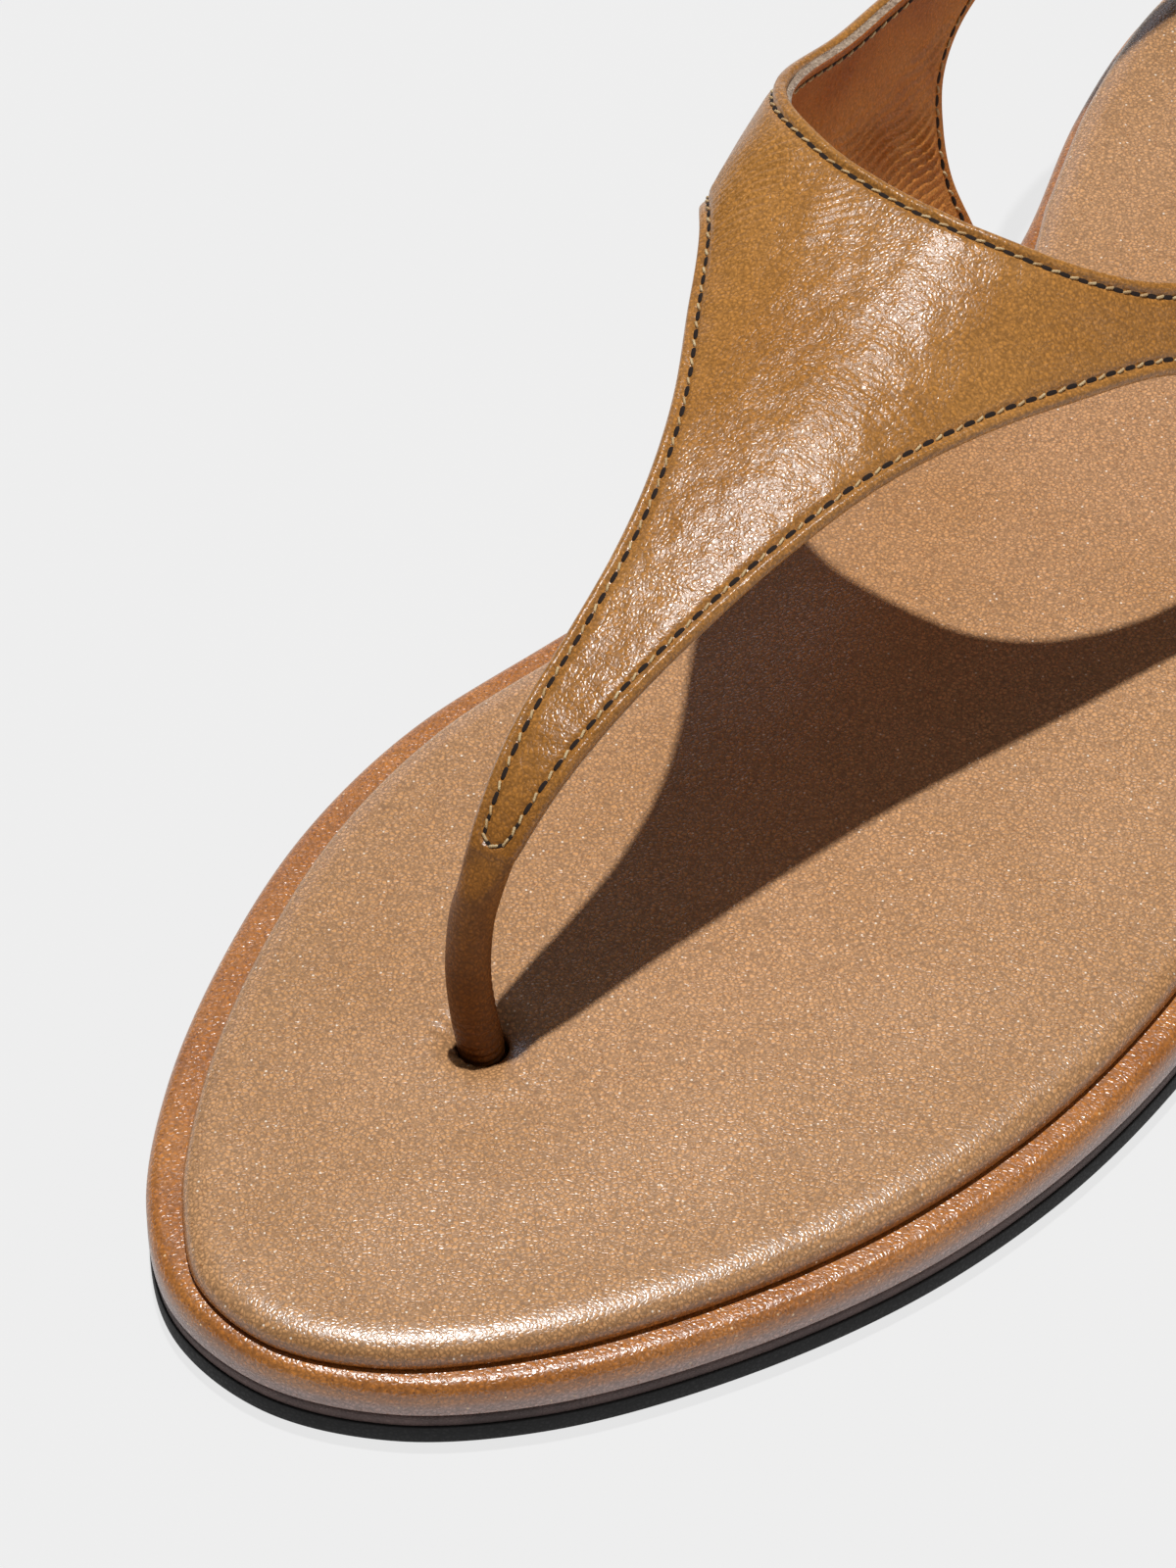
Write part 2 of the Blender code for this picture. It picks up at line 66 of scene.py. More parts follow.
def smoothLine(points, steps, closed=False):
    # centripetal Catmull-Rom line through the points
    p = np.asarray(points, float)
    if closed:
        ring = np.vstack([p[-1:], p, p[:2]])
    else:
        ring = np.vstack([2 * p[:1] - p[1:2], p, 2 * p[-1:] - p[-2:-1]])
    found = []
    for i in range(len(ring) - 3):
        four = ring[i:i + 4]
        hops = np.maximum(np.linalg.norm(np.diff(four, axis=0), axis=1), 1e-9) ** 0.5
        knot = np.concatenate([[0.0], np.cumsum(hops)])
        place = (knot[1] + (knot[2] - knot[1]) * np.arange(steps) / steps)[:, None]

        def mix(first, second, low, high):
            share = (place - knot[low]) / (knot[high] - knot[low])
            return first * (1 - share) + second * share

        a = [mix(four[k], four[k + 1], k, k + 1) for k in range(3)]
        b = [mix(a[k], a[k + 1], k, k + 2) for k in range(2)]
        found.append(mix(b[0], b[1], 1, 2))
    if not closed:
        found.append(p[-1:])
    return np.vstack(found)


def runAlong(points):
    # length of the line up to each of its points
    return np.concatenate([[0.0], np.cumsum(np.linalg.norm(np.diff(points, axis=0), axis=1))])


def sampled(table, run, where):
    # rows of a table that belongs to a line, read at other lengths along it
    return np.stack([np.interp(where, run, table[:, k]) for k in range(table.shape[1])], axis=1)


def evenLine(points, step, closed=False):
    # the same line with its points about one step apart
    p = np.vstack([points, points[:1]]) if closed else np.asarray(points)
    run = runAlong(p)
    count = max(2, int(round(run[-1] / step)))
    return sampled(p, run, run[-1] * np.arange(count if closed else count + 1) / count)


def tableAt(rows, number, along):
    # a table's column at any places along the sole, as a smooth curve
    table = np.array(rows)
    x, y = table[:, 0], table[:, number]
    along = np.clip(along, x[0], x[-1])
    i = np.clip(np.searchsorted(x, along) - 1, 0, len(x) - 2)
    before, after = np.maximum(i - 1, 0), np.minimum(i + 2, len(x) - 1)
    width = x[i + 1] - x[i]
    s = (along - x[i]) / width
    slopeIn = (y[i + 1] - y[before]) / (x[i + 1] - x[before]) * width
    slopeOut = (y[after] - y[i]) / (x[after] - x[i]) * width
    return ((2 * s ** 3 - 3 * s ** 2 + 1) * y[i] + (s ** 3 - 2 * s ** 2 + s) * slopeIn
            + (3 * s ** 2 - 2 * s ** 3) * y[i + 1] + (s ** 3 - s ** 2) * slopeOut)


def smoothStep(low, high, value):
    share = np.clip((value - low) / (high - low), 0.0, 1.0)
    return share * share * (3 - 2 * share)


def unit(v):
    return v / np.maximum(np.linalg.norm(v, axis=-1, keepdims=True), 1e-12)


# mesh making

def addPiece(name, points, faces, materials, slots=None):
    mesh = bpy.data.meshes.new(name)
    mesh.from_pydata([tuple(p) for p in points], [], faces)
    mesh.validate()
    for material in materials:
        mesh.materials.append(material)
    if slots is not None:
        mesh.polygons.foreach_set("material_index", slots)
    mesh.shade_smooth()
    piece = bpy.data.objects.new(name, mesh)
    bpy.context.scene.collection.objects.link(piece)
    return piece


def ringFaces(low, high, closed=True):
    # quads between two rows of vertex numbers
    count = len(low) if closed else len(low) - 1
    return [(low[i], low[(i + 1) % len(low)], high[(i + 1) % len(low)], high[i])
            for i in range(count)]


def loftFaces(rings):
    # quads between each row of vertex numbers and the next
    return [face for low, high in zip(rings, rings[1:]) for face in ringFaces(low, high)]


def stackFaces(count, levels):
    # quads between levels of rings that hold count points each
    return loftFaces([[level * count + i for i in range(count)] for level in range(levels)])


def insideOf(points, ring):
    # which flat points lie inside a closed line
    x, y = points[:, 0:1], points[:, 1:2]
    ax, ay = ring[:, 0], ring[:, 1]
    bx, by = np.roll(ax, -1), np.roll(ay, -1)
    crossing = ((ay > y) != (by > y))
    with np.errstate(divide="ignore", invalid="ignore"):
        at = ax + (bx - ax) * (y - ay) / (by - ay)
    return (np.where(crossing, x < at, False).sum(axis=1) % 2) == 1


def distanceTo(points, line):
    # distance from flat points to a finely stepped line
    found = np.empty(len(points))
    for start in range(0, len(points), 2000):
        part = points[start:start + 2000]
        gap = np.linalg.norm(part[:, None, :] - line[None, :, :], axis=2)
        found[start:start + 2000] = gap.min(axis=1)
    return found


def spaced(points, least):
    # drops the points that stand nearer than least to one before them
    kept, cells = [], {}
    for number, (x, y) in enumerate(points):
        cell = (int(x // least), int(y // least))
        near = [cells.get((cell[0] + i, cell[1] + j), ()) for i in (-1, 0, 1) for j in (-1, 0, 1)]
        if any((x - px) ** 2 + (y - py) ** 2 < least * least for group in near for px, py in group):
            continue
        cells.setdefault(cell, []).append((x, y))
        kept.append(number)
    return points[kept]


hexRow = 0.866    # distance between the rows of a hexagonal grid, in steps


def hexGrid(low, high, step):
    rows = int((high[0] - low[0]) / (step * hexRow)) + 1
    columns = int((high[1] - low[1]) / step) + 1
    i, j = np.meshgrid(np.arange(rows), np.arange(columns), indexing="ij")
    x = low[0] + i * step * hexRow
    y = low[1] + (j + 0.5 * (i % 2)) * step
    return np.stack([x.ravel(), y.ravel()], axis=1)


def fillFlat(rings, inner):
    # triangles over the points, inside the first ring and outside the others
    edges, start = [], 0
    for ring in rings:
        count = len(ring)
        edges += [(start + i, start + (i + 1) % count) for i in range(count)]
        start += count
    points = np.vstack(list(rings) + [inner])
    found = delaunay_2d_cdt([Vector(p) for p in points], edges, [], 1, 1e-8)
    flat = np.array([tuple(p) for p in found[0]])
    place = np.full(len(points), -1)
    for number, sources in enumerate(found[3]):
        for source in sources:
            place[source] = number
    faces = [tuple(face) for face in found[2]]
    if len(rings) > 1:
        middle = np.array([flat[list(face)].mean(axis=0) for face in faces])
        out = np.any([insideOf(middle, ring) for ring in rings[1:]], axis=0)
        faces = [face for face, gone in zip(faces, out) if not gone]
    return flat, faces, place


# materials

def linear(code):
    # sRGB hex to linear colour
    parts = [int(code[i:i + 2], 16) / 255 for i in (1, 3, 5)]
    return tuple(c / 12.92 if c <= 0.04045 else ((c + 0.055) / 1.055) ** 2.4 for c in parts) + (1.0,)


def node(tree, kind, settings=None, **links):
    # adds a node: settings are its properties or sockets, links its inputs
    made = tree.nodes.new(kind)
    for key, value in (settings or {}).items():
        if hasattr(made, key) and not key[0].isupper():
            setattr(made, key, value)
        else:
            made.inputs[int(key) if key.isdigit() else key].default_value = value
    for key, source in links.items():
        name = key.replace("_", " ")
        socket = made.inputs[int(key[1:])] if key[0] == "i" and key[1:].isdigit() else made.inputs[name]
        tree.links.new(source, socket)
    return made


def newMaterial(name, **sockets):
    material = bpy.data.materials.new(name)
    material.use_nodes = True
    shader = material.node_tree.nodes["Principled BSDF"]
    for key, value in sockets.items():
        shader.inputs[key.replace("_", " ")].default_value = value
    return material, material.node_tree, shader


def paintedShadeFades(tree, place, colour, paintedShades):
    # painted shade and painted reflection: colour that changes with the distance from a place, or with height
    # where there is none
    for centre, start, end, mode, code in paintedShades:
        if centre is None:
            value = node(tree, "ShaderNodeSeparateXYZ", Vector=place).outputs["Z"]
        else:
            gap = node(tree, "ShaderNodeVectorMath", {"operation": "DISTANCE", "1": centre}, i0=place)
            value = gap.outputs["Value"]
        amount = node(tree, "ShaderNodeMapRange", {"interpolation_type": "SMOOTHSTEP", "From Min": start,
                                                   "From Max": end, "To Min": 1.0, "To Max": 0.0},
                      Value=value)
        shadedTone = node(tree, "ShaderNodeMix", {"data_type": "RGBA", "blend_type": mode, "7": linear(code)},
                     i0=amount.outputs["Result"], i6=colour)
        colour = shadedTone.outputs[2]
    return colour


waveSpan = 0.314    # a wave texture of scale 1 repeats at this length


def paintedFoldShade(tree, place, colour, spacing, reach, depth):
    # painted shade: dark valleys of the folds round the post's foot, fainter away from its hole
    rings = node(tree, "ShaderNodeTexWave", {"bands_direction": "Z", "Scale": waveSpan / spacing,
                                             "Distortion": 2.2, "Detail": 1.0, "Detail Scale": 1.0},
                 Vector=place)
    gap = node(tree, "ShaderNodeVectorMath", {"operation": "DISTANCE", "1": holeCentre}, i0=place)
    near = node(tree, "ShaderNodeMapRange", {"interpolation_type": "SMOOTHSTEP", "From Max": reach,
                                             "To Min": depth, "To Max": 0.0}, Value=gap.outputs["Value"])
    fold = node(tree, "ShaderNodeMix", {"data_type": "FLOAT", "2": 1.0}, i0=near.outputs["Result"],
                i3=rings.outputs["Fac"])
    foldShaded = node(tree, "ShaderNodeMix", {"data_type": "RGBA", "blend_type": "MULTIPLY", "0": 1.0},
                  i6=colour, i7=fold.outputs[0])
    return foldShaded.outputs[2]


def paintedGlintAndPoreDots(tree, place, colour, look):
    # painted highlight and shade: round dots, each in its own cell: painted glints in a few cells, pin pores
    # darkened as painted shade in others
    cells = node(tree, "ShaderNodeTexVoronoi", {"Scale": 1 / look["speckCell"]}, Vector=place)
    dot = node(tree, "ShaderNodeMapRange", {"From Min": look["speckSize"],
                                            "From Max": look["speckSize"] * 0.5},
               Value=cells.outputs["Distance"])
    rare = 1 - look["speckShare"]
    for code, start, end in ((look["glint"], rare, rare + 0.02), (look["pinShade"], 0.42, 0.40)):
        # each cell has its own chance number, and those past start get the dot
        chosen = node(tree, "ShaderNodeMapRange", {"From Min": start, "From Max": end},
                      Value=cells.outputs["Color"])
        mask = node(tree, "ShaderNodeMath", {"operation": "MULTIPLY"},
                    i0=dot.outputs["Result"], i1=chosen.outputs["Result"])
        dotted = node(tree, "ShaderNodeMix", {"data_type": "RGBA", "7": linear(code)},
                      i0=mask.outputs[0], i6=colour)
        colour = dotted.outputs[2]
    return colour


mattShine = 0.45    # gloss left in the middle of a worn place


def wornShine(tree, place, full, matt):
    # gloss over the surface, lower in the worn places
    level = None
    for centre, start, end in matt:
        gap = node(tree, "ShaderNodeVectorMath", {"operation": "DISTANCE", "1": centre}, i0=place)
        most = full if level is None else 1.0
        worn = node(tree, "ShaderNodeMapRange", {"interpolation_type": "SMOOTHSTEP", "From Min": start,
                                                 "From Max": end, "To Min": most * mattShine,
                                                 "To Max": most}, Value=gap.outputs["Value"])
        if level is None:
            level = worn.outputs["Result"]
        else:
            level = node(tree, "ShaderNodeMath", {"operation": "MULTIPLY"},
                         i0=level, i1=worn.outputs["Result"]).outputs[0]
    return level


def leatherMaterial(name, look):
    # pebbled hide: rounded cells with valleys between them, pores on top, cloudy dye
    material, tree, shader = newMaterial(name, IOR=look["ior"], Sheen_Weight=look.get("sheen", 0.0),
                                         Specular_IOR_Level=look.get("specular", 0.5))
    place = node(tree, "ShaderNodeTexCoord").outputs["Object"]
    drift = node(tree, "ShaderNodeTexNoise", {"Scale": 0.45 / look["grain"], "Detail": 2.0}, Vector=place)
    shift = (look["grain"] * 0.9,) * 3
    warped = node(tree, "ShaderNodeVectorMath", {"operation": "MULTIPLY_ADD", "1": shift},
                  i0=drift.outputs["Color"], i2=place)
    cells = node(tree, "ShaderNodeTexVoronoi", {"feature": "DISTANCE_TO_EDGE", "Scale": 1 / look["grain"]},
                 Vector=warped.outputs[0])
    pebble = node(tree, "ShaderNodeMapRange", {"interpolation_type": "SMOOTHSTEP",
                                               "From Max": look["valley"]}, Value=cells.outputs["Distance"])
    pores, swell, cloud = [node(tree, "ShaderNodeTexNoise", {"Scale": 1 / look[size], "Detail": detail},
                                Vector=place).outputs["Fac"]
                           for size, detail in (("pore", 1.5), ("swell", 2.0), ("cloud", 4.0))]

    # colour: cloudy between two tones, with painted shade and painted reflection in places, and painted shade
    # darkening the valleys and pores
    tint = node(tree, "ShaderNodeValToRGB", Fac=cloud)
    tones = ((0.35, look["dark"]), (0.65, look["light"]))
    for stop, (position, code) in zip(tint.color_ramp.elements, tones):
        stop.position, stop.color = position, linear(code)
    pit = node(tree, "ShaderNodeMapRange", {"To Min": 1 - look["pitShade"], "To Max": 1.0},
               Value=pebble.outputs["Result"])
    poreShade = node(tree, "ShaderNodeMapRange", {"From Min": 0.40, "From Max": 0.60,
                                              "To Min": 1 - look["mottle"], "To Max": 1.0}, Value=pores)
    grainShade = node(tree, "ShaderNodeMath", {"operation": "MULTIPLY"},
                i0=pit.outputs["Result"], i1=poreShade.outputs["Result"])
    colour = paintedShadeFades(tree, place, tint.outputs["Color"], look.get("paintedShades", ()))
    shade = node(tree, "ShaderNodeMix", {"data_type": "RGBA", "blend_type": "MULTIPLY", "0": 1.0},
                 i6=colour, i7=grainShade.outputs[0])
    colour = shade.outputs[2]
    # painted shade in the valleys of the post's ring folds
    if "rings" in look:
        colour = paintedFoldShade(tree, place, colour, *look["rings"])
    # painted glints and painted shade in pin pores, as coloured dots
    if "glint" in look:
        colour = paintedGlintAndPoreDots(tree, place, colour, look)
    tree.links.new(colour, shader.inputs["Base Color"])

    # gloss: the valleys are a little duller than the pebbles
    gloss = node(tree, "ShaderNodeMapRange", {"To Min": min(1.0, look["roughness"] + 0.12),
                                              "To Max": look["roughness"]}, Value=pebble.outputs["Result"])
    tree.links.new(gloss.outputs["Result"], shader.inputs["Roughness"])
    if look.get("matt"):
        level = wornShine(tree, place, look["specular"], look["matt"])
        tree.links.new(level, shader.inputs["Specular IOR Level"])

    # relief: pebbles, pores on them and broad swells under them
    height = node(tree, "ShaderNodeMath", {"operation": "MULTIPLY", "1": look["pebbles"]},
                  i0=pebble.outputs["Result"])
    for pattern, share in ((pores, look["poreShare"]), (swell, look["swellShare"])):
        height = node(tree, "ShaderNodeMath", {"operation": "MULTIPLY_ADD", "1": share},
                      i0=pattern, i2=height.outputs[0])
    bump = node(tree, "ShaderNodeBump", {"Strength": 1.0, "Distance": look["relief"]},
                Height=height.outputs[0])
    tree.links.new(bump.outputs["Normal"], shader.inputs["Normal"])
    return material


# In each look grain, pore, swell and cloud are the sizes of its patterns, in millimetres of the real
# hide, but grain and pores are drawn about twice as coarse as real so that they show. valley is how
# wide the cells' valleys are, pebbles, poreShare and swellShare weigh the three reliefs, relief is
# their depth, and pitShade and mottle are how dark the valleys and pores are painted, as painted shade.
holeCentre = (-11.79 * mm, -83.40 * mm, 7.2 * mm)    # where the toe post enters the insole
paintedPostShade = (holeCentre, 13 * mm, 40 * mm, "MULTIPLY", "#B4984E")    # painted shade, darker towards the post's hole

# drum-dyed full-grain calf with a glazed finish: warm tan, its fine pebbles break each highlight
# into narrow glittering bands, and it is duller in the two places where the instep bends. Painted
# shade darkens it near the post's hole
upperLook = {"light": "#D5954C", "dark": "#C6863E", "roughness": 0.22, "ior": 1.5, "grain": 0.46 * mm,
             "valley": 0.35, "pebbles": 0.7, "pore": 0.38 * mm, "swell": 5.0 * mm, "cloud": 16 * mm,
             "pitShade": 0.34, "mottle": 0.30, "poreShare": 1.5, "swellShare": 20.0, "relief": 0.027 * mm,
             "paintedShades": (paintedPostShade,), "specular": 0.5,
             "matt": (((-13 * mm, -26 * mm, 54 * mm), 5 * mm, 16 * mm),
                      ((-26 * mm, -12 * mm, 54 * mm), 6 * mm, 18 * mm))}
# the same calf rolled into the post: darker and duller, with painted shade darkening its foot and the valleys
# of the ring folds there
postLook = dict(upperLook, relief=0.030 * mm, roughness=0.42, specular=0.35, swellShare=1.0,
                rings=(1.05 * mm, 12 * mm, 0.6), matt=())
# printed calf sprayed with a pearl finish: pale tan with painted glints as bright specks and painted shade
# in pin pores, and browner below the rim's turn with painted shade and painted reflection of the rand
insoleLook = {"light": "#E9B17C", "dark": "#DEA56D", "roughness": 0.22, "ior": 1.5, "grain": 0.46 * mm,
              "valley": 0.32, "pebbles": 0.8, "pore": 0.34 * mm, "swell": 4.0 * mm, "cloud": 22 * mm,
              "pitShade": 0.46, "mottle": 0.28, "poreShare": 1.2, "swellShare": 3.0, "relief": 0.021 * mm,
              "specular": 0.9, "glint": "#FFF0DC", "pinShade": "#9C6A40", "speckCell": 0.50 * mm,
              "speckSize": 0.29, "speckShare": 0.18,
              "paintedShades": ((None, 8.4 * mm, 10.2 * mm, "MULTIPLY", "#D6AE6C"),)}
# calf stretched wet over the platform's board and pressed: opened grain, glossy along its round
# edge with painted glints, and greyed down its side by painted shade and painted reflection of the floor
randLook = {"light": "#DC8F46", "dark": "#C87C38", "roughness": 0.22, "ior": 1.5, "grain": 0.50 * mm,
            "valley": 0.35, "pebbles": 0.9, "pore": 0.36 * mm, "swell": 3.0 * mm, "cloud": 9 * mm,
            "pitShade": 0.34, "mottle": 0.28, "poreShare": 1.3, "swellShare": 4.0, "relief": 0.030 * mm,
            "specular": 1.0, "glint": "#FFD8A8", "pinShade": "#7C4C2C", "speckCell": 0.55 * mm,
            "speckSize": 0.28, "speckShare": 0.14,
            "paintedShades": ((None, 4.8 * mm, 6.1 * mm, "MIX", "#B48E82"),)}
# goat lining, dyed through and left without a top finish: deeper orange with a soft shine; painted
# shade darkens it towards its top edge, and it stays lighter low down as painted light bounced from the
# insole
liningLook = {"light": "#F6A64C", "dark": "#E08C36", "roughness": 0.38, "ior": 1.48, "grain": 0.5 * mm,
              "valley": 0.4, "pebbles": 0.4, "pore": 0.34 * mm, "swell": 1.3 * mm, "cloud": 8 * mm,
              "pitShade": 0.2, "mottle": 0.2, "poreShare": 1.4, "swellShare": 1.6, "relief": 0.06 * mm,
              "paintedShades": ((None, 51 * mm, 33 * mm, "MULTIPLY", "#D2B266"),)}
# raw edge of the lining's split suede, cut by knife: a pale line of dull, fuzzy fibres
suedeLook = {"light": "#E6CDB2", "dark": "#B4967E", "roughness": 0.9, "ior": 1.45, "grain": 0.40 * mm,
             "valley": 0.4, "pebbles": 1.0, "pore": 0.26 * mm, "swell": 0.7 * mm, "cloud": 0.5 * mm,
             "pitShade": 0.3, "mottle": 0.3, "poreShare": 2.0, "swellShare": 1.0, "relief": 0.09 * mm,
             "specular": 0.1, "sheen": 0.3}
# fibreboard of pressed leather scrap, stained dark: a dull mauve-grey line under the rand
stripLook = {"light": "#6A5450", "dark": "#4C3C3A", "roughness": 0.6, "ior": 1.48, "grain": 0.4 * mm,
             "valley": 0.4, "pebbles": 0.6, "pore": 0.26 * mm, "swell": 1.2 * mm, "cloud": 6 * mm,
             "pitShade": 0.2, "mottle": 0.2, "poreShare": 1.0, "swellShare": 0.8, "relief": 0.04 * mm}
# moulded nitrile rubber: near black and dull, with the faint skin of its mould
rubberLook = {"light": "#18181A", "dark": "#121213", "roughness": 0.6, "ior": 1.52, "grain": 0.5 * mm,
              "valley": 0.4, "pebbles": 0.3, "pore": 0.3 * mm, "swell": 2.0 * mm, "cloud": 9 * mm,
              "pitShade": 0.1, "mottle": 0.1, "poreShare": 0.8, "swellShare": 0.6, "relief": 0.02 * mm,
              "specular": 0.3}
# bonded polyester thread, twisted from three plies: cream, with a small shine on top of each stitch
threadLook = {"light": "#F4DAA8", "dark": "#D8B078", "roughness": 0.4, "ior": 1.5, "grain": 0.2 * mm,
              "valley": 0.4, "pebbles": 1.0, "pore": 0.12 * mm, "swell": 0.5 * mm, "cloud": 1.5 * mm,
              "pitShade": 0.3, "mottle": 0.1, "poreShare": 0.5, "swellShare": 0.5, "relief": 0.02 * mm}

upperLeather = leatherMaterial("drumDyedCalf", upperLook)
# the insole's calf carries painted glints and painted shade
insoleLeather = leatherMaterial("pearlCalfPaintedGlints", insoleLook)
randLeather = leatherMaterial("wrappedRandCalf", randLook)
# the post's calf carries painted shade towards its foot and in its folds
postLeather = leatherMaterial("postCalfPaintedShade", postLook)
liningLeather = leatherMaterial("liningGoat", liningLook)
suedeEdge = leatherMaterial("rawSuedeEdge", suedeLook)
stripLeather = leatherMaterial("darkFibreboard", stripLook)
soleRubber = leatherMaterial("mouldedBlackRubber", rubberLook)
threadMaterial = leatherMaterial("bondedPolyesterThread", threadLook)
# painted shade: a near-black stand-in for the shade inside a needle hole, where no light comes back out
holeShadeMaterial = newMaterial("stitchHoleShade", Base_Color=linear("#1E1009"), Roughness=0.9)[0]
print("materials made")


# sole

sole = {
    "length": 251.2 * mm,
    "ballWidth": 88.0 * mm,
    "toeTip": -0.117,        # across, as a share of the ball width
    "heelTip": -0.014,
    "ledgeBall": 4.0 * mm,   # rand left bare outside the insole: arch side of the ball,
    "ledgeWaist": 1.3 * mm,  # arch side behind the arm,
    "ledgeLateral": 3.1 * mm,
    "ledgeToe": 1.4 * mm,
    "waistFrom": 0.380,      # it narrows between these shares of the length
    "waistTo": 0.740,
    "step": 0.8 * mm,        # distance between the points of an outline
    "rubberIn": 0.1 * mm,    # rubber stands this far inside the rand
    "rubberLow": 0.3 * mm,   # rounds of its lower and upper edge
    "rubberHigh": 0.2 * mm,
    "stripIn": 0.3 * mm,     # the strip is set back, so that it shows as a line
    "randLow": 0.6 * mm,     # rounds of the rand's lower and upper edge
    "randHigh": 1.6 * mm,
}
soleRows = (
    # along as a share of the length, arch side and outer side as shares of the ball width
    (0.012, -0.250, 0.022), (0.045, -0.344, 0.155), (0.100, -0.420, 0.286), (0.170, -0.474, 0.400),
    (0.240, -0.499, 0.467), (0.310, -0.484, 0.497), (0.380, -0.424, 0.496), (0.460, -0.347, 0.458),
    (0.540, -0.291, 0.407), (0.620, -0.270, 0.370), (0.700, -0.293, 0.341), (0.780, -0.344, 0.329),
    (0.850, -0.362, 0.322), (0.910, -0.335, 0.293), (0.960, -0.246, 0.235), (0.990, -0.124, 0.120),
)
levels = {name: (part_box(name)[0][2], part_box(name)[1][2]) for name in ("outsole", "midsole", "rand")}
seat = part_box("insole")[0][2]
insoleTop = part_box("insole")[1][2]


def solePlace(along):
    return (along - 0.5) * sole["length"]


def soleLoop():
    # toe tip, lateral side, heel, medial side
    width = sole["ballWidth"]
    points = [(sole["toeTip"] * width, solePlace(0.0))]
    points += [(row[2] * width, solePlace(row[0])) for row in soleRows]
    points.append((sole["heelTip"] * width, solePlace(1.0)))
    points += [(row[1] * width, solePlace(row[0])) for row in reversed(soleRows)]
    return evenLine(smoothLine(points, 24, closed=True), sole["step"], closed=True)


def outwardOf(loop):
    ahead = np.roll(loop, -1, axis=0) - np.roll(loop, 1, axis=0)
    return unit(np.stack([ahead[:, 1], -ahead[:, 0]], axis=1))


def stackRings(loop, outward, profile):
    # one ring for each inset and height of the profile
    return [np.column_stack([loop - outward * inset, np.full(len(loop), height)])
            for inset, height in profile]


def tubeMesh(levels, count):
    # faces of a closed tube whose rings are given one after another
    ends = [tuple(reversed(range(count))), tuple((levels - 1) * count + i for i in range(count))]
    return stackFaces(count, levels) + ends


def stackPiece(name, rings, material):
    return addPiece(name, np.vstack(rings), tubeMesh(len(rings), len(rings[0])), [material])


def arcProfile(radius, inset, height, turns, upward):
    # a quarter round as insets and heights
    turn = np.radians(90) * np.arange(turns + 1) / turns
    if upward:
        return [(inset + radius * (1 - math.cos(a)), height - radius * (1 - math.sin(a))) for a in turn]
    return [(inset + radius * (1 - math.sin(a)), height + radius * (1 - math.cos(a))) for a in turn]


loop = soleLoop()
outward = outwardOf(loop)

outsoleLow, outsoleHigh = levels["outsole"]
outsoleProfile = arcProfile(sole["rubberLow"], sole["rubberIn"], outsoleLow, 3, False)
outsoleProfile += arcProfile(sole["rubberHigh"], sole["rubberIn"], outsoleHigh, 3, True)
outsole = stackPiece("rubberOutsole", stackRings(loop, outward, outsoleProfile), soleRubber)
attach(outsole, "root")
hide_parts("outsole")

stripLow, stripHigh = levels["midsole"]
# it reaches a little into the gaps to rubber and rand, so that no light shows between them
stripProfile = [(sole["stripIn"], stripLow - 0.3 * mm), (sole["stripIn"], stripHigh),
                (sole["stripIn"] + 0.2 * mm, stripHigh + 0.25 * mm)]
strip = stackPiece("darkStrip", stackRings(loop, outward, stripProfile), stripLeather)
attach(strip, "root")
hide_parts("midsole")

randLow, randHigh = levels["rand"]
randProfile = arcProfile(sole["randLow"], 0.0, randLow, 5, False)
randProfile += arcProfile(sole["randHigh"], 0.0, randHigh, 9, True)
randPiece = stackPiece("wrappedRand", stackRings(loop, outward, randProfile), randLeather)
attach(randPiece, "root")
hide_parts("rand")
print("sole made")


# insole

insole = {
    "rimRound": 2.3 * mm,    # the crown starts inside this
    # way in from the edge in mm, share of the height still to climb
    "rimRows": ((0.0, 0.88), (0.05, 0.70), (0.16, 0.54), (0.36, 0.40), (0.66, 0.28), (1.05, 0.19),
                (1.50, 0.125), (1.95, 0.075), (2.40, 0.040), (2.90, 0.017), (3.50, 0.004), (4.20, 0.0)),
    "crown": 0.5 * mm,       # the middle stands this much higher than the rim
    "step": 1.6 * mm,
    "holeRadius": 2.6 * mm,
    "holeSides": 96,
    "holeDip": 0.9 * mm,     # the cover is pulled down round the post's hole, and
    "dipReach": 1.3 * mm,
    "holeLip": 0.25 * mm,    # stands up in a soft ring outside that dip
    "pleats": 15,            # small folds round the hole, most of them on one side
    "pleatDepth": 0.10 * mm,
    "postAlong": 0.168,      # the post's hole, as shares of the length and ball width
    "postAcross": -0.134,
    "armAlong": 0.616,       # middle of the arms' feet
    "armWidth": 21.0 * mm,
    "armSeat": 0.7 * mm,     # the arms stand this far inside the sole's edge
    "gap": 0.3 * mm,
}
leatherWall = 2.0 * mm       # the upper's leather and lining together


def ledgeDepth(loop, outward):
    # bare rand outside the insole, which gives way to the arms where they pass it
    side = (1 + outward[:, 0]) / 2
    back = smoothStep(solePlace(sole["waistFrom"]), solePlace(sole["waistTo"]), loop[:, 1])
    medial = sole["ledgeBall"] + (sole["ledgeWaist"] - sole["ledgeBall"]) * back
    ledge = medial + (sole["ledgeLateral"] - medial) * side
    toe = np.maximum(0.0, -outward[:, 1]) ** 3
    ledge = ledge + (sole["ledgeToe"] - ledge) * toe
    seatDepth = insole["armSeat"] + leatherWall + insole["gap"] * 3
    off = np.abs(loop[:, 1] - solePlace(insole["armAlong"])) / insole["armWidth"]
    give = np.clip(1.7 - 1.5 * off, 0.0, 1.0)
    return ledge + give * np.maximum(0.0, seatDepth - ledge)


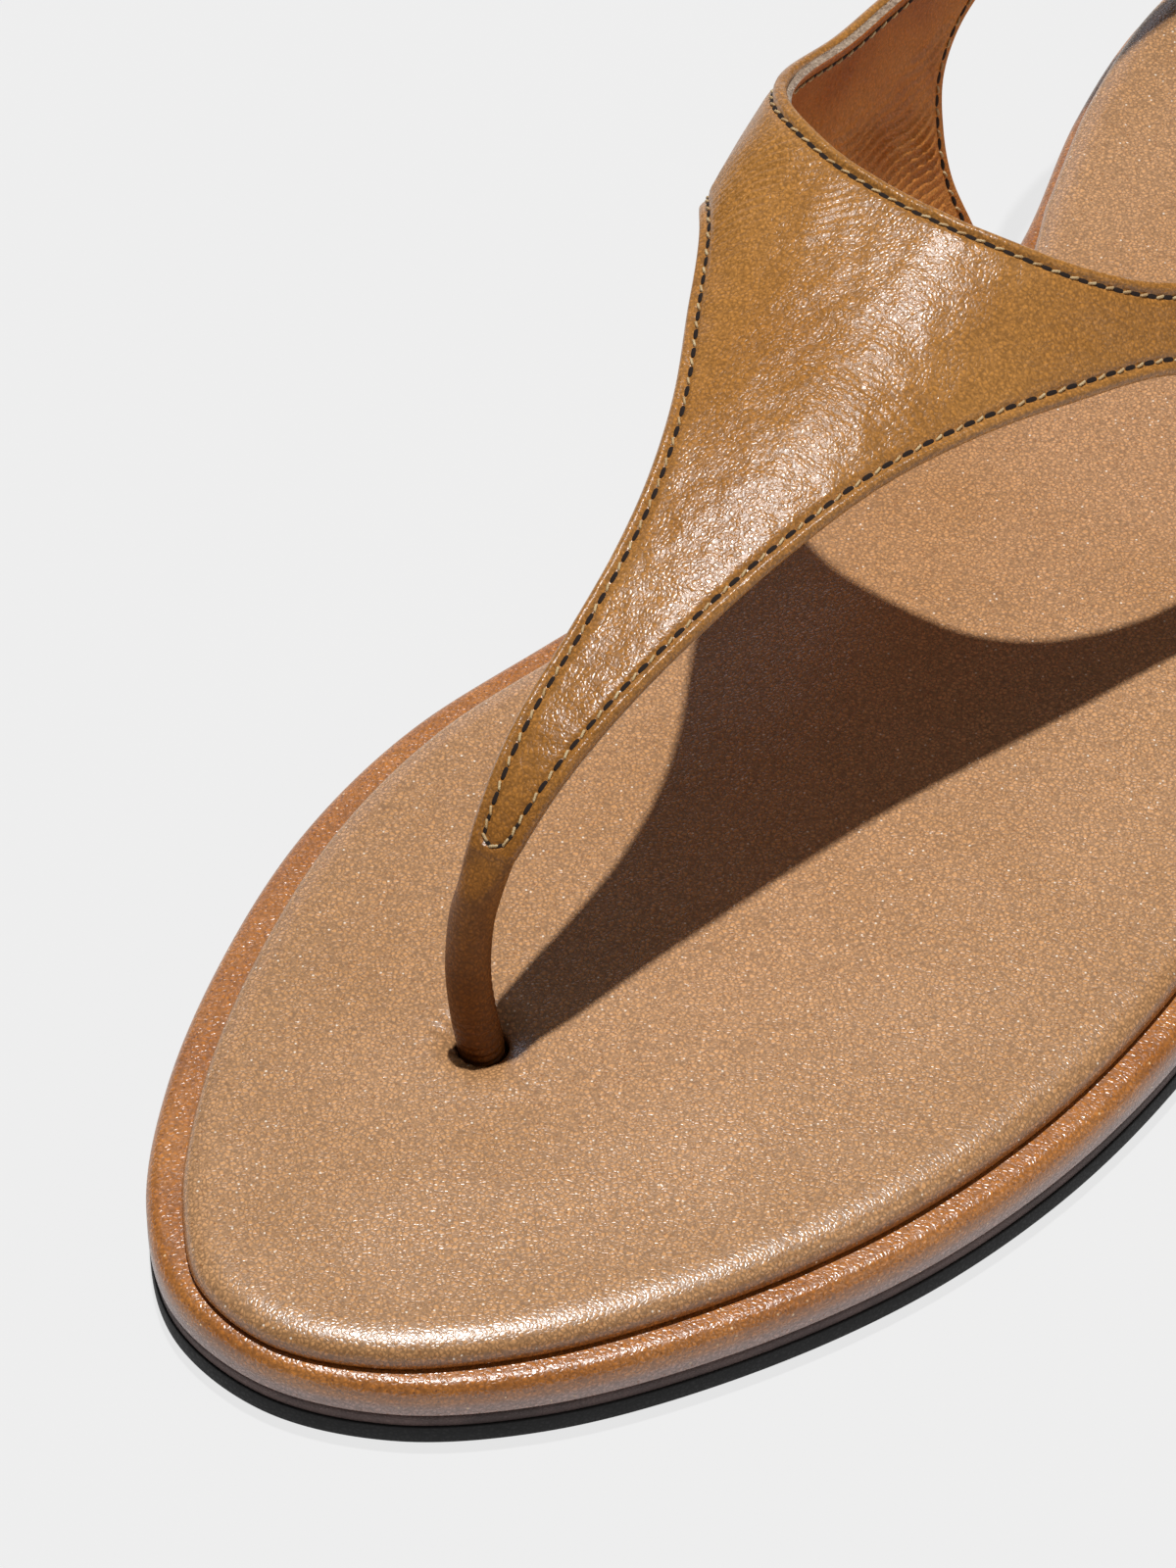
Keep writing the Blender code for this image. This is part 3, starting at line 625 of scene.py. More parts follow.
def holeShape(flat, centre):
    # how far the cover lies lower round the post's hole
    away = np.linalg.norm(flat - centre, axis=1) - insole["holeRadius"]
    near = np.maximum(away, 0)
    angle = np.arctan2(flat[:, 1] - centre[1], flat[:, 0] - centre[0])
    lip = np.exp(-(((away - 2.6 * mm) / (2.0 * mm)) ** 2))
    pleat = np.exp(-(near / (2.2 * mm))) * (0.5 - 0.5 * np.cos(angle - 0.7))
    return (insole["holeDip"] * np.exp(-near / insole["dipReach"]) - insole["holeLip"] * lip
            + insole["pleatDepth"] * pleat * np.cos(insole["pleats"] * angle))


def makeInsole():
    edge = loop - outward * ledgeDepth(loop, outward)[:, None]
    flatTop = insoleTop - insole["crown"]
    tall = flatTop - seat
    bottom = seat - 0.25 * mm
    rim = [(0.5 * mm, bottom), (0.15 * mm, seat)]
    rim += [(inWay * mm, flatTop - tall * down) for inWay, down in insole["rimRows"]]
    rings = stackRings(edge, outward, rim)
    count = len(edge)
    topRing = edge - outward * (insole["rimRows"][-1][0] + 0.8) * mm
    centre = np.array([insole["postAcross"] * sole["ballWidth"], solePlace(insole["postAlong"])])
    sides = insole["holeSides"]
    turn = np.arange(sides) / sides * math.tau
    around = np.stack([np.cos(turn), np.sin(turn)], axis=1)
    holeRings = [centre + around * (insole["holeRadius"] + out * mm)
                 for out in (0.0, 0.25, 0.5, 0.8, 1.2, 1.7, 2.3, 3.0)]
    grid = hexGrid(edge.min(axis=0), edge.max(axis=0), insole["step"])
    grid = grid[insideOf(grid, topRing)]
    grid = grid[distanceTo(grid, topRing) > insole["step"] * 0.6]
    grid = grid[np.linalg.norm(grid - centre, axis=1) > insole["holeRadius"] + 4.0 * mm]
    flat, faces, place = fillFlat([topRing, holeRings[0]], np.vstack(holeRings[1:] + [grid]))
    radius = insole["rimRound"]
    rise = insole["crown"] * smoothStep(radius * 1.8, radius * 11, distanceTo(flat, edge))
    top = np.column_stack([flat, flatTop + rise - holeShape(flat, centre)])
    base = count * len(rings)
    wall = np.column_stack([holeRings[0], np.full(sides, bottom)])
    points = np.vstack(rings + [top, wall])
    allFaces = stackFaces(count, len(rings))
    last = [base - count + i for i in range(count)]
    allFaces += ringFaces(last, [base + place[i] for i in range(count)])
    allFaces += [tuple(base + n for n in face) for face in faces]
    # hole wall and underside
    low = [base + len(top) + i for i in range(sides)]
    allFaces += ringFaces([base + place[count + i] for i in range(sides)], low)
    _, bottomFaces, bottomPlace = fillFlat([rings[0][:, :2], holeRings[0]], np.empty((0, 2)))
    lookup = dict(zip(bottomPlace, list(range(count)) + low))
    allFaces += [tuple(lookup[n] for n in reversed(face)) for face in bottomFaces]
    return addPiece("paddedInsole", points, allFaces, [insoleLeather])


insolePiece = makeInsole()
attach(insolePiece, "root")
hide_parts("insole")
print("insole made")


# upper

upper = {
    "instepRise": 51.5 * mm,   # from the insole's seat to the ridge over the waist
    "wall": leatherWall,
    "postWidth": 4.4 * mm,
    "strapWidth": 8.5 * mm,
    "footTrim": 1.2 * mm,      # the feet and the post go this far down below the seat
    "strapAlong": 0.690,       # where the strap leaves the arms, and the heights of its edges there
    "strapFoot": 0.682,
    "strapHead": 0.842,
    "postRung": 0.012,         # how far behind the post the flat leather starts
    "postStep": 0.2 * mm,
    "foldReach": 6.5 * mm,     # ring folds above the insole
    "foldDepth": 0.17 * mm,
    "foldSpacing": 0.98 * mm,
    "edgeStep": 0.6 * mm,      # mesh along the edges and over the leather, and its closer rows
    "skinStep": 1.3 * mm,
    "stitchIn": 1.45 * mm,     # stitches from the edge
    "rungSteps": 12,
    "bands": np.array([1.1, 1.22, 1.34, 1.45, 1.56, 1.68, 1.85, 2.1, 2.5, 3.1, 3.9]) * mm,
    "necks": np.array([-0.45, -0.3, -0.15, 0.0, 0.15, 0.3, 0.45]) * mm,
    "strapSteps": 36,          # lines across the strap between two rows of its table
}
lastRows = (
    # sections of the last: along, height as a share of the instep's rise, then as shares of the ball
    # width the ridge's place and the half widths of arch side and outer side, and squareness
    (0.170, 0.470, -0.143, 0.310, 0.330, 2.4), (0.210, 0.615, -0.139, 0.310, 0.330, 2.4),
    (0.262, 0.715, -0.131, 0.315, 0.335, 2.5), (0.341, 0.828, -0.122, 0.320, 0.340, 2.8),
    (0.420, 0.918, -0.115, 0.325, 0.340, 3.6), (0.488, 1.000, -0.106, 0.351, 0.341, 5.4),
    (0.540, 1.060, -0.098, 0.361, 0.350, 6.0), (0.610, 1.130, -0.084, 0.357, 0.365, 6.0),
    (0.700, 1.240, -0.062, 0.352, 0.372, 5.6),
)
lateralSquare = 2.4    # squareness of the last's outer half
wallPull = 1.5         # how low its walls turn in to the sole's edge
# edges of the pattern: along the sole, girth from the ridge as a share of the ball width
vampMedial = ((0.178, 0.028), (0.198, 0.040), (0.227, 0.049), (0.261, 0.054), (0.297, 0.063),
              (0.332, 0.083), (0.369, 0.119), (0.408, 0.176), (0.452, 0.252))
vampLateral = ((0.178, 0.026), (0.193, 0.033), (0.215, 0.043), (0.252, 0.060), (0.284, 0.080),
               (0.322, 0.107), (0.371, 0.150), (0.415, 0.206), (0.458, 0.275), (0.504, 0.358))
vampTop = ((0.524, -0.266), (0.507, -0.210), (0.493, -0.130), (0.487, -0.060), (0.484, 0.000),
           (0.484, 0.060), (0.490, 0.130), (0.502, 0.200), (0.528, 0.289))
# edges of the arms: along the sole, height as a share of the instep's rise
armFrontMedial = ((0.484, 0.755), (0.516, 0.620), (0.545, 0.450), (0.566, 0.240))
armFrontLateral = ((0.537, 0.600), (0.560, 0.440), (0.572, 0.230))
armRear = ((0.648, 0.200), (0.642, 0.340), (0.643, 0.450), (0.649, 0.565), (0.662, 0.632))
armTopMedial = ((0.650, 0.846), (0.612, 0.855), (0.580, 0.866), (0.550, 0.915))
armTopLateral = ((0.650, 0.820), (0.602, 0.790), (0.558, 0.792))
strapRows = (
    # the strap's middle: across, along, height as a share of the instep's rise
    (-0.416, 0.760, 0.765), (-0.398, 0.840, 0.770), (-0.330, 0.910, 0.785), (-0.190, 0.962, 0.800),
    (-0.014, 0.980, 0.805), (0.140, 0.960, 0.800), (0.228, 0.908, 0.785), (0.276, 0.840, 0.770),
    (0.274, 0.760, 0.765),
)
postRows = (
    # across and along in post widths from the hole, height of the instep's rise
    (-0.05, -0.05, 0.060), (-0.14, -0.14, 0.137), (-0.29, -0.09, 0.253), (-0.39, 0.25, 0.353),
    (-0.31, 0.50, 0.420),
)
sectionTurns = 160     # points on each half section of the last


def halfSections(along, side):
    # one side of the last's skin at each station: across, height and way round
    along = np.atleast_1d(along)
    rise = tableAt(lastRows, 1, along)[:, None] * upper["instepRise"]
    ridge = tableAt(lastRows, 2, along)[:, None] * sole["ballWidth"]
    half = tableAt(lastRows, 4 if side > 0 else 3, along)[:, None] * sole["ballWidth"]
    square = np.full((len(along), 1), lateralSquare) if side > 0 else tableAt(lastRows, 5, along)[:, None]
    edge = tableAt(soleRows, 2 if side > 0 else 1, along)[:, None] * sole["ballWidth"]
    edge = edge - side * insole["armSeat"]
    turn = np.arange(sectionTurns + 1) / sectionTurns
    # from the ridge down, with points closer together near the ridge
    high = np.sin(np.radians(90) * (1 - turn ** 2 * 0.6 - turn * 0.4))[None, :]
    wide = np.maximum(0.0, 1 - high * high) ** (1 / square)
    across = ridge + side * half * wide + (edge - ridge - side * half) * (1 - high) ** wallPull
    height = seat + rise * high
    across = np.hstack([across, across[:, -1:]])
    height = np.hstack([height, height[:, -1:] - upper["footTrim"]])
    hops = np.hypot(np.diff(across, axis=1), np.diff(height, axis=1))
    girth = np.hstack([np.zeros((len(along), 1)), np.cumsum(hops, axis=1)])
    return across, height, girth


skinStations = np.arange(0.150, 0.7101, 0.002)    # from before the post to behind the arms
skinGirths = np.arange(-110, 111) * 1.0 * mm      # round both sides from the ridge


def buildSkin():
    # the last's skin as a grid of stations and girths, smoothed a little along the foot
    grid = np.zeros((len(skinStations), len(skinGirths), 3))
    grid[:, :, 1] = solePlace(skinStations)[:, None]
    for side in (-1, 1):
        across, height, girth = halfSections(skinStations, side)
        mask = skinGirths * side >= 0
        goal = np.abs(skinGirths[mask])
        for i in range(len(skinStations)):
            far = np.append(girth[i], girth[i, -1] + 0.1)
            grid[i, mask, 0] = np.interp(goal, far, np.append(across[i], across[i, -1]))
            grid[i, mask, 2] = np.interp(goal, far, np.append(height[i], height[i, -1] - 0.1))
    width, spread = 8, 3.5    # stations
    kernel = np.exp(-0.5 * (np.arange(-width, width + 1) / spread) ** 2)
    kernel /= kernel.sum()
    padded = np.concatenate([2 * grid[:1] - grid[width:0:-1], grid, 2 * grid[-1:] - grid[-2:-width - 2:-1]])
    smooth = sum(kernel[k] * padded[k:k + len(grid)] for k in range(2 * width + 1))
    grid[:, :, 0], grid[:, :, 2] = smooth[:, :, 0], smooth[:, :, 2]
    return grid


skinGrid = buildSkin()


def cubicWeights(t):
    # Catmull-Rom weights of four neighbours
    return np.stack([-0.5 * t + t * t - 0.5 * t ** 3, 1 - 2.5 * t * t + 1.5 * t ** 3,
                     0.5 * t + 2 * t * t - 1.5 * t ** 3, -0.5 * t * t + 0.5 * t ** 3])


def onSkin(along, girth):
    # points of the skin
    along, girth = np.broadcast_arrays(np.asarray(along, float), np.asarray(girth, float))
    u = (along - skinStations[0]) / (skinStations[1] - skinStations[0])
    v = (girth - skinGirths[0]) / (skinGirths[1] - skinGirths[0])
    i = np.clip(u.astype(int), 1, len(skinStations) - 3)
    j = np.clip(v.astype(int), 1, len(skinGirths) - 3)
    wu, wv = cubicWeights(u - i), cubicWeights(v - j)
    found = 0
    for a in range(4):
        for b in range(4):
            found = found + (wu[a] * wv[b])[..., None] * skinGrid[i + a - 1, j + b - 1]
    return found


def skinNormal(along, girth):
    # outward direction, from points a little ahead, behind and to each side
    along, girth = np.asarray(along, float), np.asarray(girth, float)
    da, dg = 0.0025, 0.6 * mm
    forward = onSkin(along + da, girth) - onSkin(along - da, girth)
    around = onSkin(along, girth + dg) - onSkin(along, girth - dg)
    return unit(np.cross(around, forward))


def alongOf(place):
    return place / sole["length"] + 0.5


def girthAtHeight(along, side, height):
    # way round from the ridge to a height, a share of the instep's rise
    _, z, girth = halfSections(along, side)
    goal = seat + height * upper["instepRise"]
    return side * float(np.interp(-goal, -z[0], girth[0]))


def flatPoint(along, girth):
    return (solePlace(along), girth)


def armPoints(rows, side):
    return [flatPoint(a, girthAtHeight(a, side, h)) for a, h in rows]


def armFoot(side):
    half = insole["armWidth"] / sole["length"] / 2
    return [flatPoint(a, side * halfSections(a, side)[2][0, -1])
            for a in (insole["armAlong"] - half, insole["armAlong"] + half)]


def strapRung(side, along, steps):
    heights = np.linspace(upper["strapFoot"], upper["strapHead"], steps + 1)
    return [flatPoint(along, girthAtHeight(along, side, h)) for h in heights]


def clipFront(line, start):
    # the part of a flat line behind a place along the sole
    line = np.asarray(line)
    first = int(np.argmax(line[:, 0] >= start))
    share = (start - line[first - 1, 0]) / (line[first, 0] - line[first - 1, 0])
    cut = line[first - 1] + share * (line[first] - line[first - 1])
    return np.vstack([cut, line[first:]])


def patternLines():
    # the flat pattern's edges in turn, each with its kind: feet stand on the sole, and rungs are
    # where strap and post go on
    width = sole["ballWidth"]
    post = insole["postAlong"]
    start = solePlace(post + upper["postRung"])
    foot, rung, front, rear, top = {}, {}, {}, {}, {}
    for side in (-1, 1):
        vamp = vampLateral if side > 0 else vampMedial
        fore = armFrontLateral if side > 0 else armFrontMedial
        crown = armTopLateral if side > 0 else armTopMedial
        toe = [flatPoint(post + 0.003, 0.0), flatPoint(post + 0.005, side * 0.018 * width)]
        foot[side] = armFoot(side)
        rung[side] = strapRung(side, upper["strapAlong"], upper["rungSteps"])
        run = toe + [flatPoint(a, side * g * width) for a, g in vamp]
        run += armPoints(fore, side) + foot[side][:1]
        front[side] = clipFront(smoothLine(run, 24), start)
        rear[side] = smoothLine(foot[side][1:] + armPoints(armRear, side) + rung[side][:1], 24)
        crest = sorted([flatPoint(a, g * width) for a, g in vampTop if g * side >= 0],
                       key=lambda p: -abs(p[1]))
        top[side] = smoothLine([rung[side][-1]] + armPoints(crown, side) + crest, 24)
    step = upper["edgeStep"]
    topLine = np.vstack([top[-1], top[1][::-1][1:]])
    neck = np.linspace(front[1][0], front[-1][0], upper["rungSteps"] + 1)
    return [
        ("edge", evenLine(front[-1], step)),
        ("foot", evenLine(np.array(foot[-1]), step * 2)),
        ("edge", evenLine(rear[-1], step)),
        ("rung", np.array(rung[-1])),
        ("edge", evenLine(topLine, step)),
        ("rung", np.array(rung[1])[::-1]),
        ("edge", evenLine(rear[1][::-1], step)),
        ("foot", evenLine(np.array(foot[1])[::-1], step * 2)),
        ("edge", evenLine(front[1][::-1], step)),
        ("rung", neck),
    ]


def edgeInward(lines, index):
    # inward direction for each point of an edge, sliding along its neighbours at both ends
    line = lines[index][1]
    ahead = np.gradient(line, axis=0)
    inward = unit(np.stack([-ahead[:, 1], ahead[:, 0]], axis=1))
    before, after = lines[index - 1][1], lines[(index + 1) % len(lines)][1]
    for end, other in ((0, before[-2] - before[-1]), (-1, after[1] - after[0])):
        other = unit(other)
        inward[end] = other / max(0.3, float(other @ inward[end]))
    return inward


# cross-section of a finished edge in mm: way in from the edge, depth below the outer face
edgeProfile = (
    (0.62, 0.00), (0.36, 0.07), (0.16, 0.20), (0.03, 0.40), (0.00, 0.60), (0.06, 0.84), (0.22, 1.02),
    (0.42, 1.08), (0.36, 1.17), (0.33, 1.50), (0.36, 1.84), (0.52, 1.98),
)
profileSlots = (0,) * 7 + (2,) * 4 + (1,) * 2    # leather, raw edge, then lining down that section
profileEdge = 0.9 * mm                           # the section starts this far from the edge


seamShape = {
    "beadHigh": 0.20 * mm,      # the turned edge is a bead of doubled leather
    "beadIn": 0.70 * mm,
    "beadWide": 0.42 * mm,
    "grooveDeep": 0.27 * mm,    # stitches pull the leather down along their line
    "grooveWide": 0.40 * mm,
    "swellHigh": 0.03 * mm,     # and push it up a little behind it
    "swellIn": 2.3 * mm,
    "swellWide": 0.6 * mm,
    "liningDeep": 0.12 * mm,
    "liningWide": 0.28 * mm,
}


def hump(distance, width):
    return np.exp(-(distance / width) ** 2)


def beadLift(depth):
    return seamShape["beadHigh"] * hump(depth - seamShape["beadIn"], seamShape["beadWide"])


def outerDepth(depth, seam):
    # leather lies proud between edge and stitches, and dips where they pull it down
    groove = seamShape["grooveDeep"] * hump(seam, seamShape["grooveWide"])
    swell = seamShape["swellHigh"] * hump(depth - seamShape["swellIn"], seamShape["swellWide"])
    return groove - beadLift(depth) - swell


def innerDepth(depth):
    groove = seamShape["liningDeep"] * hump(depth - upper["stitchIn"], seamShape["liningWide"])
    return upper["wall"] - groove


stitch = {
    # front edge, arch side arm's rear, top of the vamp, outer arm's rear, strap's lower and upper edge
    "pitches": (2.5 * mm, 2.5 * mm, 2.0 * mm, 2.5 * mm, 2.2 * mm, 2.2 * mm),
    "uPitch": 1.3 * mm,        # closer stitches where the line turns behind the post
    "uReach": 4.0 * mm,
    "lineStep": 0.25 * mm,
    "length": 1.10 * mm,
    "thread": 0.16 * mm,       # radius of the thread
    "lean": 0.16 * mm,         # each stitch lies a little across its seam
    "threadSides": 6,
    "slotSides": 8,
    "slotLong": 1.35 * mm,     # painted shade of each needle hole, where the leather is pulled open
    "slotWide": 0.80 * mm,
    "slotDeep": 0.07 * mm,
    "slotProud": 0.05 * mm,    # raised so far that it shows in the groove
    "uEnd": 1.15 * mm,         # where the line turns round behind the post
    "fullStep": 2.2 * mm,      # a slot is smaller where the stitches are closer than this
}


def flatStitchLine(lines, index):
    # line of stitches beside an edge of the pattern, on the flat
    inward = edgeInward(lines, index)
    return evenLine(lines[index][1] + inward * upper["stitchIn"], stitch["lineStep"])


def flatStitchLines(lines):
    # the front line runs round behind the post in a U, and the others follow their edges
    start = solePlace(insole["postAlong"] + upper["postRung"]) + stitch["uEnd"] + 0.5 * mm
    medial, lateral = flatStitchLine(lines, 0), flatStitchLine(lines, 8)[::-1]
    medial = medial[(medial[:, 0] > start) & (medial[:, 1] < -stitch["uEnd"])]
    lateral = lateral[(lateral[:, 0] > start) & (lateral[:, 1] > stitch["uEnd"])]
    centre, radius = (medial[0] + lateral[0]) / 2, (lateral[0, 1] - medial[0, 1]) / 2
    bend = np.radians(np.arange(15, 180, 15))
    turn = centre - radius * np.stack([np.sin(bend), np.cos(bend)], axis=1)
    front = np.vstack([medial[::-1], turn, lateral])
    return [evenLine(front, stitch["lineStep"])] + [flatStitchLine(lines, index) for index in (2, 4, 6)]


creaseColumns = ("lining", "along", "girth", "long", "wide", "angle", "spacing", "height", "mesh")
creaseRows = (
    # on the lining or not, along the sole, girth as a share of the ball width, half length and half
    # width in mm, angle in degrees, spacing, height and mesh in mm
    (True, 0.617, -0.620, 13.0, 10.0, -10, 1.35, 0.36, 0.36),
    (True, 0.574, -0.420, 9.0, 7.0, 62, 1.15, 0.12, 0.40),
    (False, 0.462, -0.215, 12.0, 8.5, 56, 1.00, 0.13, 0.34),
    (False, 0.402, 0.085, 10.0, 9.0, 98, 1.00, 0.055, 0.36),
)
creases = [dict(zip(creaseColumns, row)) for row in creaseRows]


def creaseFrame(crease, flat):
    # millimetres along and across a patch of creases
    off = flat - np.array([solePlace(crease["along"]), crease["girth"] * sole["ballWidth"]])
    cos, sin = math.cos(math.radians(crease["angle"])), math.sin(math.radians(crease["angle"]))
    return off @ np.array([cos, sin]) / mm, off @ np.array([-sin, cos]) / mm


def creaseHeight(flat, lining):
    # wavy ridges that fade out at the patch's edge
    found = np.zeros(len(flat))
    for crease in creases:
        if crease["lining"] != lining:
            continue
        t, d = creaseFrame(crease, flat)
        fade = np.exp(-(t / crease["long"]) ** 4 - (d / crease["wide"]) ** 4)
        sway = 1.3 * np.sin(t / 2.1 + 0.9 * np.sin(d / 2.6)) + 0.9 * np.sin(t / 1.1 + d / 1.7)
        size = 0.62 + 0.38 * np.sin(t / 3.3 + d / 1.9 + 1.0)
        wave = math.tau * d / crease["spacing"] + sway
        found += crease["height"] * mm * fade * size * (np.sin(wave) + 0.35 * np.sin(2 * wave + 0.8))
    return found


def creaseGrid():
    # closer mesh points under each patch
    found = []
    for crease in creases:
        reach = math.hypot(crease["long"], crease["wide"]) * mm
        centre = np.array([solePlace(crease["along"]), crease["girth"] * sole["ballWidth"]])
        grid = hexGrid(centre - reach, centre + reach, crease["mesh"] * mm)
        t, d = creaseFrame(crease, grid)
        found.append(grid[(np.abs(t) < crease["long"] * 1.05) & (np.abs(d) < crease["wide"] * 1.05)])
    return np.vstack(found)


def flatPoints(lines, inwards, seams, fine, boundary):
    # mesh points inside the pattern: bands along its edges and the U of stitches, creases, and a grid
    bands = []
    for depth in upper["bands"]:
        for index, inward in inwards.items():
            spot = (lines[index][1] + inward * depth)[1:-1]
            bands.append(spot[distanceTo(spot, fine) > depth * 0.96])
    front = seams[0]
    neck = front[np.linalg.norm(front - front[len(front) // 2], axis=1) < 6 * mm]
    lean = unit(np.gradient(neck, axis=0)) @ np.array([[0.0, 1.0], [-1.0, 0.0]])
    necks = [neck + lean * off for off in upper["necks"]]
    dense = creaseGrid()
    dense = dense[distanceTo(dense, fine) > 2.0 * mm]
    grid = hexGrid(boundary.min(axis=0), boundary.max(axis=0), upper["skinStep"])
    grid = grid[distanceTo(grid, fine) > 4.6 * mm]
    grid = grid[distanceTo(grid, dense) > 0.5 * mm]
    inner = np.vstack(necks + bands + [dense, grid])
    inner = inner[insideOf(inner, boundary)]
    inner = inner[distanceTo(inner, evenLine(boundary, 0.15 * mm, closed=True)) > 0.16 * mm]
    return spaced(inner, 0.11 * mm)


def makeUpper(lines):
    # both faces of the leather over the flat pattern, and the finished edges that join them
    fine = np.vstack([evenLine(line, 0.3 * mm) for kind, line in lines if kind == "edge"])
    inwards, ring, owner = {}, [], []
    for index, (kind, line) in enumerate(lines):
        if kind == "edge":
            inwards[index] = edgeInward(lines, index)
            ring.append(line + inwards[index] * profileEdge)
            owner += [(index, i) for i in range(len(line))]
        else:
            run = np.linalg.norm(line - line[0], axis=1)
            keep = (run > profileEdge * 1.25) & (run[-1] - run > profileEdge * 1.25)
            ring.append(line[keep])
            owner += [(index, i) for i in np.nonzero(keep)[0]]
    boundary = np.vstack(ring)
    seams = flatStitchLines(lines)
    flat, triangles, place = fillFlat([boundary], flatPoints(lines, inwards, seams, fine, boundary))
    depth = distanceTo(flat, fine)
    seam = distanceTo(flat, np.vstack([evenLine(line, 0.2 * mm) for line in seams]))
    calm = smoothStep(1.6 * mm, 3.2 * mm, depth)
    along = alongOf(flat[:, 0])
    skin, normal = onSkin(along, flat[:, 1]), skinNormal(along, flat[:, 1])
    outer = skin - normal * (outerDepth(depth, seam) - creaseHeight(flat, False) * calm)[:, None]
    within = skin - normal * (innerDepth(depth) + creaseHeight(flat, True) * calm)[:, None]
    points = [outer, within]
    count = len(flat)
    total = 2 * count
    # triangles wind the same way as the skin's outer side
    a, b, c = triangles[len(triangles) // 2]
    ahead = float(np.cross(outer[b] - outer[a], outer[c] - outer[a]) @ normal[a]) > 0
    outerFaces = [face if ahead else face[::-1] for face in triangles]
    faces = outerFaces + [tuple(count + n for n in reversed(face)) for face in outerFaces]
    slots = [0] * len(outerFaces) + [1] * len(outerFaces)
    # finished edges
    ringPlace = {key: place[number] for number, key in enumerate(owner)}
    chains = {}
    for index, inward in inwards.items():
        line = lines[index][1]
        rows = [[ringPlace[(index, i)] for i in range(len(line))]]
        for inWay, down in edgeProfile:
            spot = line + inward * inWay * mm
            along = alongOf(spot[:, 0])
            proud = beadLift(inWay * mm) * max(0.0, 1 - down)
            points.append(onSkin(along, spot[:, 1]) - skinNormal(along, spot[:, 1]) * (down * mm - proud))
            rows.append([total + i for i in range(len(line))])
            total += len(line)
        rows.append([count + ringPlace[(index, i)] for i in range(len(line))])
        for level, kind in enumerate(profileSlots):
            quads = ringFaces(rows[level + 1], rows[level], closed=False)
            faces += quads if ahead else [quad[::-1] for quad in quads]
            slots += [kind] * len(quads)
        chains[index] = rows
    return np.vstack(points), faces, slots, ringPlace, chains, count


lines = patternLines()
points, faces, slots, ringPlace, chains, half = makeUpper(lines)


def capRing(index):
    # vertex numbers round the leather's section at a foot or rung
    kept = [ringPlace[key] for key in sorted(k for k in ringPlace if k[0] == index)]
    before = [row[-1] for row in chains[(index - 1) % len(lines)]]
    after = [row[0] for row in chains[(index + 1) % len(lines)]]
    inner = [half + n for n in reversed(kept)]
    return [before[0]] + kept + after + inner + [before[-1]] + before[1:-1][::-1]


def postPath():
    # middle line of the rolled post, from the flat leather down to its hole
    x = insole["postAcross"] * sole["ballWidth"]
    y = solePlace(insole["postAlong"])
    rise, width = upper["instepRise"], upper["postWidth"]
    path = [(x, y, seat - upper["footTrim"])]
    path += [(x + across * width, y + along * width, seat + height * rise)
             for across, along, height in postRows]
    a = insole["postAlong"] + upper["postRung"]
    path.append(tuple(onSkin(a, 0.0) - skinNormal(a, 0.0) * upper["wall"] * 0.5))
    return evenLine(smoothLine(path, 24)[::-1], upper["postStep"])


def foldDepth(height, around):
    # ring folds round the post's foot, deeper on the side that the toes push
    near = math.exp(-((height - insoleTop) / upper["foldReach"]) ** 2)
    side = 0.55 + 0.45 * np.cos(around + 0.8)
    wave = math.tau * height / upper["foldSpacing"] + 0.9 * np.sin(around * 2 + height / (1.7 * mm))
    return near * upper["foldDepth"] * side * np.sin(wave)


def addPost(points):
    # the flat leather's section turns into a round one and runs down the post
    ring = capRing(len(lines) - 1)
    path = postPath()
    tangent = unit(np.gradient(path, axis=0))
    across = np.array([1.0, 0.0, 0.0])
    deep = unit(np.cross(tangent, across))
    start = points[ring]
    centre = start.mean(axis=0)
    flatX = (start - centre) @ across
    flatZ = (start - centre) @ deep[0]
    # round section: points spread by their share of the way round the flat one
    order = np.unwrap(np.arctan2(flatZ, flatX / 3.2))
    run = runAlong(start)
    run /= run[-1] + np.linalg.norm(start[0] - start[-1])
    even = order[0] + (1.0 if order[-1] > order[0] else -1.0) * run * math.tau
    radius = upper["postWidth"] / 2
    roundX, roundZ = radius * np.cos(even), radius * np.sin(even)
    top = path[0, 2]
    neck = seat + upper["instepRise"] * 0.40
    made, rings = [], [ring]
    for i in range(1, len(path)):
        height = path[i, 2]
        share = float(smoothStep(0.0, 1.0, (top - height) / (top - neck)))
        x = flatX * (1 - share) + roundX * share
        z = flatZ * (1 - share) + roundZ * share
        swell = 1 + foldDepth(height, even)[:, None] / radius
        made.append(path[i] + (centre - path[0]) * (1 - share)
                    + across * x[:, None] * swell + deep[i] * z[:, None] * swell)
        first = len(points) + (i - 1) * len(ring)
        rings.append([first + k for k in range(len(ring))])
    return np.vstack([points] + made), loftFaces(rings) + [tuple(rings[-1])]


points, postFaces = addPost(points)


def strapSkin():
    # heel strap's outer face: lines from its lower to its upper edge
    steps = upper["rungSteps"]

    def lifted(side, along):
        flat = np.array(strapRung(side, along, steps))
        return onSkin(alongOf(flat[:, 0]), flat[:, 1])

    # one rung of leather before each joint gives the strap its direction there
    ends = (upper["strapAlong"] - 0.012, upper["strapAlong"])
    rungs = [lifted(-1, along) for along in ends]
    share = np.linspace(-0.5, 0.5, steps + 1)[:, None]
    for across, along, height in strapRows:
        middle = np.array([across * sole["ballWidth"], solePlace(along), seat + height * upper["instepRise"]])
        rungs.append(middle + share * np.array([0, 0, upper["strapWidth"]]))
    rungs += [lifted(1, along) for along in reversed(ends)]
    rungs = np.array(rungs)
    between = upper["strapSteps"]
    found = np.stack([smoothLine(rungs[:, k], between) for k in range(steps + 1)], axis=1)
    return found[between:-between]


